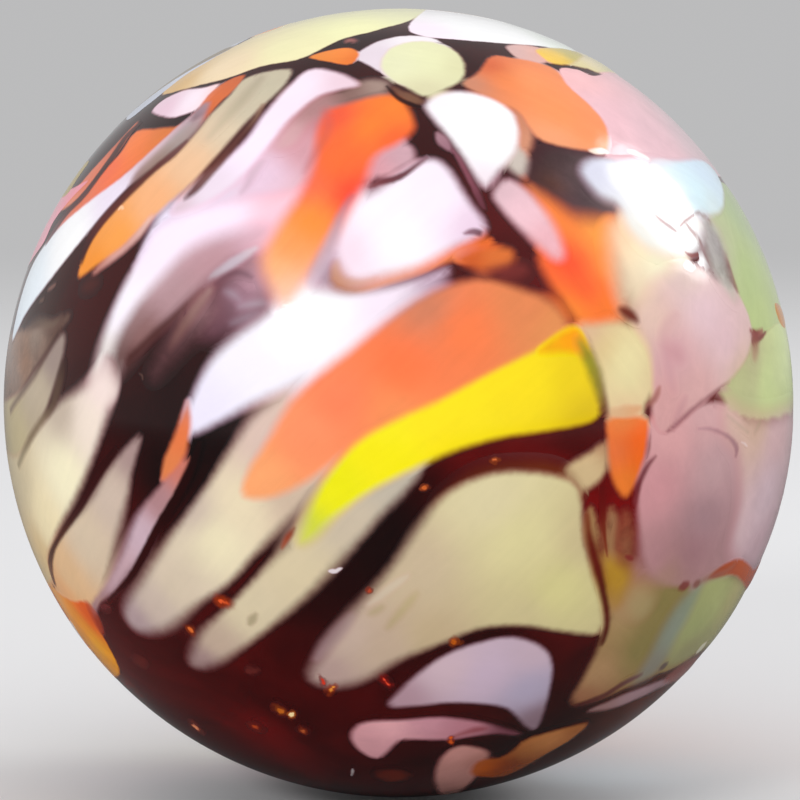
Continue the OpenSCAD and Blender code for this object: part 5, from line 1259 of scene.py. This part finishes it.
def read_between(grid, s, t):
    """Places at shares s and t of a grid, straight between its own."""
    along, across = grid.shape[0] - 1, grid.shape[1] - 1
    i = np.minimum((s * along).astype(int), along - 1)
    j = np.minimum((t * across).astype(int), across - 1)
    fs, ft = (s * along - i)[:, None, None], (t * across - j)[None, :, None]
    return ((1 - fs) * ((1 - ft) * grid[i][:, j] + ft * grid[i][:, j + 1])
            + fs * ((1 - ft) * grid[i + 1][:, j] + ft * grid[i + 1][:, j + 1]))


def crowded(count, size):
    """Shares from 0 to 1, closer together towards both ends of a size in mm."""
    crowd = min(max(math.log(max(size, LEAST_SIZE) / EVEN_SIZE), CROWDING[0]), CROWDING[1])
    t = np.linspace(-1, 1, count)
    across = np.sign(t) * (1 - (np.exp(crowd * (1 - np.abs(t))) - 1) / (math.exp(crowd) - 1))
    return (across + 1) / 2


def chip_lattice(chip):
    """Rows of places from one end of the chip to the other, closer together at its edges."""
    sides = four_sided(chip)
    length = max(np.linalg.norm(np.diff(side, axis=0), axis=1).sum() for side in sides[1::2])
    shares = np.linspace(0, 1, WIDTH_PLACES)
    gap = along_line(sides[1], shares) - along_line(sides[3], shares)
    width = np.linalg.norm(gap, axis=1).max()
    stations = int(np.clip(length / STATION_GAP, *STATIONS))
    rows = int(np.clip(width / ROW_GAP + EDGE_ROWS, *ROWS))
    s = ((1 - CROWDED_ALONG) * np.linspace(0, 1, stations)
         + CROWDED_ALONG * crowded(stations, length))
    return read_between(relaxed(spread_between(sides, *EVEN_PLACES)), s, crowded(rows, width))


def highest_around(heights, i, j):
    """The greatest of the heights next to each place of a lattice, so that streaks bridge rims."""
    lattice = np.zeros((i.max() + 1, j.max() + 1))
    lattice[i, j] = heights
    for axis in (0, 1):
        ends = [(1, 1) if axis == k else (0, 0) for k in (0, 1)]
        wide = np.pad(lattice, ends, mode="edge")
        count = lattice.shape[axis]
        lattice = np.max([np.take(wide, range(k, k + count), axis) for k in (0, 1, 2)], axis=0)
    return lattice[i, j]


# ---------------------------------------------------------------- modelling
def places_of(mesh):
    """The places of a mesh's points."""
    flat = np.zeros(len(mesh.vertices) * 3)
    mesh.vertices.foreach_get("co", flat)
    return flat.reshape(-1, 3)


def ways_of(mesh):
    """The directions of a mesh's points from the ball's middle."""
    ways = places_of(mesh)
    return ways / np.linalg.norm(ways, axis=1, keepdims=True)


def set_places(mesh, places):
    """Moves a mesh's points to their places."""
    mesh.vertices.foreach_set("co", np.asarray(places, float).ravel())
    mesh.update()


def paint(mesh, name, colours):
    """Writes a colour at each point of a mesh for its material to read."""
    layer = mesh.color_attributes.new(name, "FLOAT_COLOR", "POINT")
    layer.data.foreach_set("color", np.column_stack([colours, np.ones(len(colours))]).ravel())


def note(mesh, name, values):
    """Writes a number at each point of a mesh for its material to read."""
    mesh.attributes.new(name, "FLOAT", "POINT").data.foreach_set("value", values)


def laid_grid(chip):
    """A grid laid over the chip's outline on the ball, and the row and column of each point."""
    lattice = chip_lattice(chip)
    stations, rows = lattice.shape[:2]
    bpy.ops.object.select_all(action="DESELECT")
    bpy.ops.mesh.primitive_grid_add(x_subdivisions=stations - 1, y_subdivisions=rows - 1, size=2)
    thing = bpy.context.object
    thing.name = chip.name
    grid = places_of(thing.data)
    i = np.rint((grid[:, 0] + 1) / 2 * (stations - 1)).astype(int)
    j = np.rint((grid[:, 1] + 1) / 2 * (rows - 1)).astype(int)
    set_places(thing.data, closed(lattice[i, j], chip.axes))
    return thing, i, j


def what_is_under(chip, below, ways, depth, relief):
    """The colour and the height of all that lies under a chip, at directions."""
    run = run_together(ways)
    under = dark_glass(ways) * DARK_SHOWS
    laid_up = np.zeros(len(ways))
    nearby = [other for other in below if other.near(chip.axes[0], chip.reach)]
    insides = [other.inside(ways) for other in nearby]
    # Under a soft edge the glass below runs on a little, so that no dark shows between
    run_on, run_ons = chip.run_on(depth), []
    for other, inside in zip(reversed(nearby), reversed(insides)):
        run_ons.insert(0, run_on)
        run_on = np.maximum(run_on, other.run_on(inside))
    for other, inside, run_on in zip(nearby, insides, run_ons):
        share = smooth_step(0, other.softness(run), inside + run_on)
        seen = thinned(other.colours(ways), share)
        under += (seen - under) * (share * other.cover)[:, None]
        laid_up = other.raised(laid_up, inside, relief)
    return under, laid_up


def chip_shell(chip, below):
    """A chip's mesh: a grid laid over its outline, rounded down at the rim, given a wall."""
    thing, i, j = laid_grid(chip)
    mesh = thing.data
    ways = ways_of(mesh)
    flat, relief = opened(ways, chip.axes), pebbled(ways)
    depth = np.abs(edge_distance(flat, chip.outline))
    under, laid_up = what_is_under(chip, below, ways, depth, relief)
    if chip.glass == "dark":
        laid_up = highest_around(laid_up, i, j)
    reach = GLASS_R + swell(ways) + chip.height(laid_up, depth, relief)
    set_places(mesh, ways * reach[:, None] * MM)
    outward = sum(Vector(p.center).dot(p.normal) * p.area for p in mesh.polygons)
    if outward < 0:
        mesh.flip_normals()
    paint(mesh, "own_glass", chip.colours(ways))
    paint(mesh, "glass_under", under)
    note(mesh, "from_edge", depth)
    note(mesh, "soft_edge", chip.softness(run_together(ways)))
    note(mesh, "cover", np.full(len(ways), chip.cover))
    # The grain follows the chip, and no two chips read it at the same place
    grain = np.column_stack([flat, np.full(len(ways), chip.axes[0] @ np.array(GRAIN_PLACE))])
    mesh.attributes.new("grain", "FLOAT_VECTOR", "POINT").data.foreach_set("vector", grain.ravel())
    give_wall(thing, ways)
    return thing


def give_wall(thing, ways):
    """The skin extruded in place, then its inner copy drawn towards the ball's middle."""
    mesh = thing.data
    count = len(mesh.vertices)
    bpy.ops.object.mode_set(mode="EDIT")
    bpy.ops.mesh.select_all(action="SELECT")
    bpy.ops.mesh.extrude_region()
    bpy.ops.object.mode_set(mode="OBJECT")
    places = places_of(mesh)
    places[:count] -= ways * CHIP_WALL * MM
    set_places(mesh, places)
    # Only the skin is shaded smooth, and sharp at its rim, so that the wall doesn't turn it
    rim = set()
    for face in mesh.polygons:
        face.use_smooth = min(face.vertices) >= count
        if not face.use_smooth:
            rim.update(key for key in face.edge_keys if min(key) >= count)
    for edge in mesh.edges:
        edge.use_edge_sharp = edge.key in rim


def joined(things, name):
    """Things joined into one piece."""
    bpy.ops.object.select_all(action="DESELECT")
    for thing in things:
        thing.select_set(True)
    bpy.context.view_layer.objects.active = things[0]
    if len(things) > 1:
        bpy.ops.object.join()
    piece = bpy.context.object
    piece.name = name
    piece.data.name = name
    return piece


def glass_ball():
    """The dark ball, slightly lumpy from being rounded by hand."""
    bpy.ops.object.select_all(action="DESELECT")
    bpy.ops.mesh.primitive_ico_sphere_add(subdivisions=BALL_SUBDIVISIONS, radius=1)
    ball = bpy.context.object
    ball.name = "glass_ball"
    ways = ways_of(ball.data)
    set_places(ball.data, ways * (GLASS_R + swell(ways))[:, None] * MM)
    bpy.ops.object.shade_smooth()
    # Part of the glass's colour lies in its depth, so the skin's part is written brighter
    paint(ball.data, "dark_tint", dark_glass(ways) / (1 - DEPTH_SHARE) * DARK_SHOWS)
    return ball


# ---------------------------------------------------------------- shader nodes
def set_inputs(tree, node, inputs):
    """Gives a node's sockets plain values, or links other nodes' outputs to them."""
    for socket, value in inputs.items():
        if isinstance(value, bpy.types.NodeSocket):
            tree.links.new(value, node.inputs[socket])
        else:
            node.inputs[socket].default_value = value


def add_node(tree, kind, inputs, **settings):
    """A shader node with its settings made and its sockets given what they need."""
    node = tree.nodes.new("ShaderNode" + kind)
    for name, value in settings.items():
        setattr(node, name, value)
    set_inputs(tree, node, inputs)
    return node


def math_node(tree, operation, *values):
    """A number worked out from others."""
    return add_node(tree, "Math", dict(enumerate(values)), operation=operation).outputs[0]


def vector_node(tree, operation, inputs):
    """A colour or place worked out from others."""
    return add_node(tree, "VectorMath", inputs, operation=operation).outputs[0]


def noise_node(tree, place, grain):
    """Grain read at a place."""
    scale, detail, roughness, distortion = grain
    inputs = {"Vector": place, "Scale": scale, "Detail": detail, "Roughness": roughness,
              "Distortion": distortion}
    return add_node(tree, "TexNoise", inputs).outputs["Fac"]


def range_node(tree, value, start, end, low=0.0, high=1.0, smooth=True):
    """A value's way from one level to another, as a share or between two more levels."""
    inputs = {"Value": value, "From Min": start, "From Max": end, "To Min": low, "To Max": high}
    kind = "SMOOTHSTEP" if smooth else "LINEAR"
    return add_node(tree, "MapRange", inputs, interpolation_type=kind).outputs[0]


def attribute_node(tree, name, output):
    """What is written at each point of a mesh."""
    return add_node(tree, "Attribute", {}, attribute_name=name).outputs[output]


def new_material(name):
    """A material, its tree of nodes and its shader."""
    material = bpy.data.materials.new(name)
    material.use_nodes = True
    tree = material.node_tree
    return material, tree, tree.nodes["Principled BSDF"]


# ---------------------------------------------------------------- materials
def melted_chip_group():
    """Colour of melted-in glass: soft and ragged at the edge, streaked along the chip."""
    group = bpy.data.node_groups.new("melted chip", "ShaderNodeTree")
    for direction, sockets in (("INPUT", CHIP_INPUTS), ("OUTPUT", CHIP_OUTPUTS)):
        for name, kind in sockets.items():
            group.interface.new_socket(name, in_out=direction, socket_type="NodeSocket" + kind)
    given = group.nodes.new("NodeGroupInput").outputs
    stretched = vector_node(group, "MULTIPLY", {0: given["Grain"], 1: STREAK_STRETCH})
    streak = noise_node(group, stretched, STREAK_GRAIN)
    cloud = noise_node(group, given["Grain"], CLOUD_GRAIN)
    ragged = noise_node(group, given["Grain"], RAGGED_GRAIN)
    # The edge wanders a little as the glass melts
    wander = math_node(group, "SUBTRACT", ragged, RAGGED_MIDDLE)
    wander = math_node(group, "MULTIPLY", wander, given["Ragged"])
    edge = math_node(group, "ADD", given["From Edge"], wander)
    share = range_node(group, edge, 0.0, given["Soft Edge"])
    # Streaks and clouds lighten and darken the chip's own colour
    lift = math_node(group, "SUBTRACT", streak, GRAIN_MIDDLE)
    lift = math_node(group, "MULTIPLY", lift, given["Streaks"])
    clouded = math_node(group, "SUBTRACT", cloud, GRAIN_MIDDLE)
    lift = math_node(group, "MULTIPLY_ADD", clouded, given["Clouds"], lift)
    bright = math_node(group, "ADD", lift, 1.0)
    toned = vector_node(group, "SCALE", {0: given["Own Glass"], "Scale": bright})
    # Where the chip thins out, the amber glass round it takes some of its green and blue
    rest = math_node(group, "SUBTRACT", 1.0, share)
    taken = math_node(group, "MULTIPLY", rest, rest)
    taken = vector_node(group, "SCALE", {0: EDGE_TAKES, "Scale": taken})
    left = vector_node(group, "SUBTRACT", {0: (1, 1, 1), 1: taken})
    thin = vector_node(group, "MULTIPLY", {0: toned, 1: left})
    cover = math_node(group, "MULTIPLY", share, given["Cover"])
    mixed = {"Factor": cover, "A": given["Glass Under"], "B": thin}
    result = group.nodes.new("NodeGroupOutput")
    set_inputs(group, result, {
        "Color": add_node(group, "Mix", mixed, data_type="RGBA").outputs["Result"],
        "Roughness": math_node(group, "MULTIPLY_ADD", cloud, CLOUDS_ROUGHEN, CHIP_ROUGH),
        "Height": math_node(group, "MULTIPLY_ADD", ragged, RAGGED_IN_BUMP, cloud)})
    return group


def chip_material(glass, group):
    """One kind of chip glass: the melted chip's colour with a fine uneven gloss."""
    streaks, clouds, ragged, gloss = GLASS_FINISH[glass]
    material, tree, shader = new_material(glass + " glass")
    melt = add_node(tree, "Group", {
        "Own Glass": attribute_node(tree, "own_glass", "Color"),
        "Glass Under": attribute_node(tree, "glass_under", "Color"),
        "From Edge": attribute_node(tree, "from_edge", "Fac"),
        "Soft Edge": attribute_node(tree, "soft_edge", "Fac"),
        "Cover": attribute_node(tree, "cover", "Fac"),
        "Grain": attribute_node(tree, "grain", "Vector"),
        "Streaks": streaks, "Clouds": clouds, "Ragged": ragged}, node_tree=group)
    bump = add_node(tree, "Bump", {"Strength": BUMP_STRENGTH, "Distance": BUMP_DEPTH,
                                   "Height": melt.outputs["Height"]})
    set_inputs(tree, shader, {
        "Base Color": melt.outputs["Color"], "Roughness": melt.outputs["Roughness"],
        "Normal": bump.outputs[0], "IOR": GLASS_IOR, "Specular IOR Level": gloss})
    return material


def dark_glass_material():
    """Dark amber glass: light passes into it and is soaked up, and its colour is cloudy."""
    material, tree, shader = new_material("dark amber glass")
    place = add_node(tree, "TexCoord", {}).outputs["Object"]
    cloud = noise_node(tree, place, DARK_GRAIN)
    bright = range_node(tree, cloud, *DARK_CLOUDS, *CLOUD_SHOWS)
    tint = attribute_node(tree, "dark_tint", "Color")
    set_inputs(tree, shader, {
        "Base Color": vector_node(tree, "SCALE", {0: tint, "Scale": bright}),
        "Roughness": range_node(tree, cloud, 0.0, 1.0, *DARK_ROUGH, smooth=False),
        "Transmission Weight": DEPTH_SHARE, "Specular IOR Level": DARK_GLOSS,
        "IOR": GLASS_IOR})
    soak = add_node(tree, "VolumeAbsorption", {"Color": SOAK_COLOUR, "Density": SOAK_DENSITY})
    tree.links.new(soak.outputs[0], tree.nodes["Material Output"].inputs["Volume"])
    return material


def grey(level):
    """A very slightly cool grey."""
    return (level, level, level * COOL, 1)


def floor_paint():
    """Pale and dull, fading into the room further off, and darker where glass mirrors it."""
    material, tree, shader = new_material("pale floor")
    in_gloss = add_node(tree, "LightPath", {}).outputs["Is Glossy Ray"]
    tones = {"Factor": in_gloss, "A": grey(FLOOR_PALE), "B": grey(FLOOR_IN_GLOSS)}
    tone = add_node(tree, "Mix", tones, data_type="RGBA").outputs["Result"]
    set_inputs(tree, shader, {"Base Color": tone, "Roughness": FLOOR_ROUGH,
                              "Specular IOR Level": 0})
    place = add_node(tree, "TexCoord", {}).outputs["Object"]
    away = add_node(tree, "VectorMath", {0: place}, operation="LENGTH").outputs["Value"]
    clear = add_node(tree, "BsdfTransparent", {})
    mix = add_node(tree, "MixShader", {0: range_node(tree, away, *FLOOR_FADE),
                                       1: shader.outputs[0], 2: clear.outputs[0]})
    tree.links.new(mix.outputs[0], tree.nodes["Material Output"].inputs["Surface"])
    return material


# ---------------------------------------------------------------- light and camera
def lay_floor():
    """A round floor that the ball's lowest point touches."""
    bpy.ops.object.select_all(action="DESELECT")
    bpy.ops.mesh.primitive_circle_add(vertices=FLOOR_SIDES, radius=FLOOR_R, fill_type="NGON",
                                      location=(0, 0, -BALL_R * MM))
    floor = bpy.context.object
    floor.name = "floor"
    floor.data.materials.append(floor_paint())


def fill_room():
    """A pale room: one level to light the marble, another to be seen, mirrored or looked through."""
    world = bpy.data.worlds.new("studio")
    bpy.context.scene.world = world
    world.use_nodes = True
    tree = world.node_tree
    tree.nodes.clear()
    path = add_node(tree, "LightPath", {}).outputs
    seen = math_node(tree, "MAXIMUM", path["Is Camera Ray"], path["Is Transmission Ray"])
    seen = math_node(tree, "MAXIMUM", seen, path["Is Glossy Ray"])
    light, room = [add_node(tree, "Background", {"Color": grey(level)}).outputs[0]
                   for level in (ROOM_LIGHT, ROOM_SEEN)]
    mix = add_node(tree, "MixShader", {0: seen, 1: light, 2: room})
    add_node(tree, "OutputWorld", {"Surface": mix.outputs[0]})


def face_inwards(thing, way, distance):
    """Places a lamp or camera off in some direction, facing the ball's middle."""
    bpy.context.scene.collection.objects.link(thing)
    thing.location = way * distance
    thing.rotation_euler = (-way).to_track_quat("-Z", "Y").to_euler()


def hang_lamps():
    """Round soft lamps, some unseen in gloss, and one that is only mirrored."""
    for name, way, distance, size, power, seen_in_gloss, lights in LAMPS:
        light = bpy.data.lights.new(name, "AREA")
        light.shape = "DISK"
        light.size = size
        light.energy = power
        lamp = bpy.data.objects.new(name, light)
        lamp.visible_glossy = seen_in_gloss
        lamp.visible_diffuse = lights
        face_inwards(lamp, Vector(way).normalized(), distance)


def aim_camera():
    """Far off and a little above, with the near side's middle facing it."""
    lens = bpy.data.cameras.new("camera")
    lens.sensor_width = FILM_WIDTH
    lens.lens = LENS
    lens.shift_x = SHIFT_ACROSS
    lens.shift_y = SHIFT_UP
    lens.clip_start = SIGHT_START
    camera = bpy.data.objects.new("camera", lens)
    face_inwards(camera, Vector((0, -math.cos(NEAR_LEAN), math.sin(NEAR_LEAN))), CAMERA_AWAY)
    bpy.context.scene.camera = camera


# ---------------------------------------------------------------- the marble
def build_marble():
    """The chips, each on top of those before it, joined by their glass, and the ball in them."""
    chips = [near_chip(row) for row in NEAR_CHIPS] + [far_chip(k) for k in range(FAR_COUNT)]
    chips.sort(key=lambda chip: chip.layer)
    chips += [streak_chip(row) for row in STREAKS]
    shells = {}
    for index, chip in enumerate(chips):
        shells.setdefault(chip.glass, []).append(chip_shell(chip, chips[:index]))
    group = melted_chip_group()
    for glass, things in shells.items():
        piece = joined(things, glass + "_chips")
        piece.data.materials.clear()
        piece.data.materials.append(chip_material(glass, group))
        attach(piece, "root")
    ball = glass_ball()
    ball.data.materials.append(dark_glass_material())
    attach(ball, "root")
    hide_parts("marble")


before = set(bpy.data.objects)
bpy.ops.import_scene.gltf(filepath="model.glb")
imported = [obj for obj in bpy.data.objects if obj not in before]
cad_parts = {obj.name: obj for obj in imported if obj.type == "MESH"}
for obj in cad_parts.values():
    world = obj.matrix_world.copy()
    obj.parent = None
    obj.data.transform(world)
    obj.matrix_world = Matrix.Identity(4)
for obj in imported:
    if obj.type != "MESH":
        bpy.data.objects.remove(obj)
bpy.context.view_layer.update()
bpy.context.scene.view_settings.view_transform = "Standard"
lay_floor()
fill_room()
hang_lamps()
aim_camera()
build_marble()
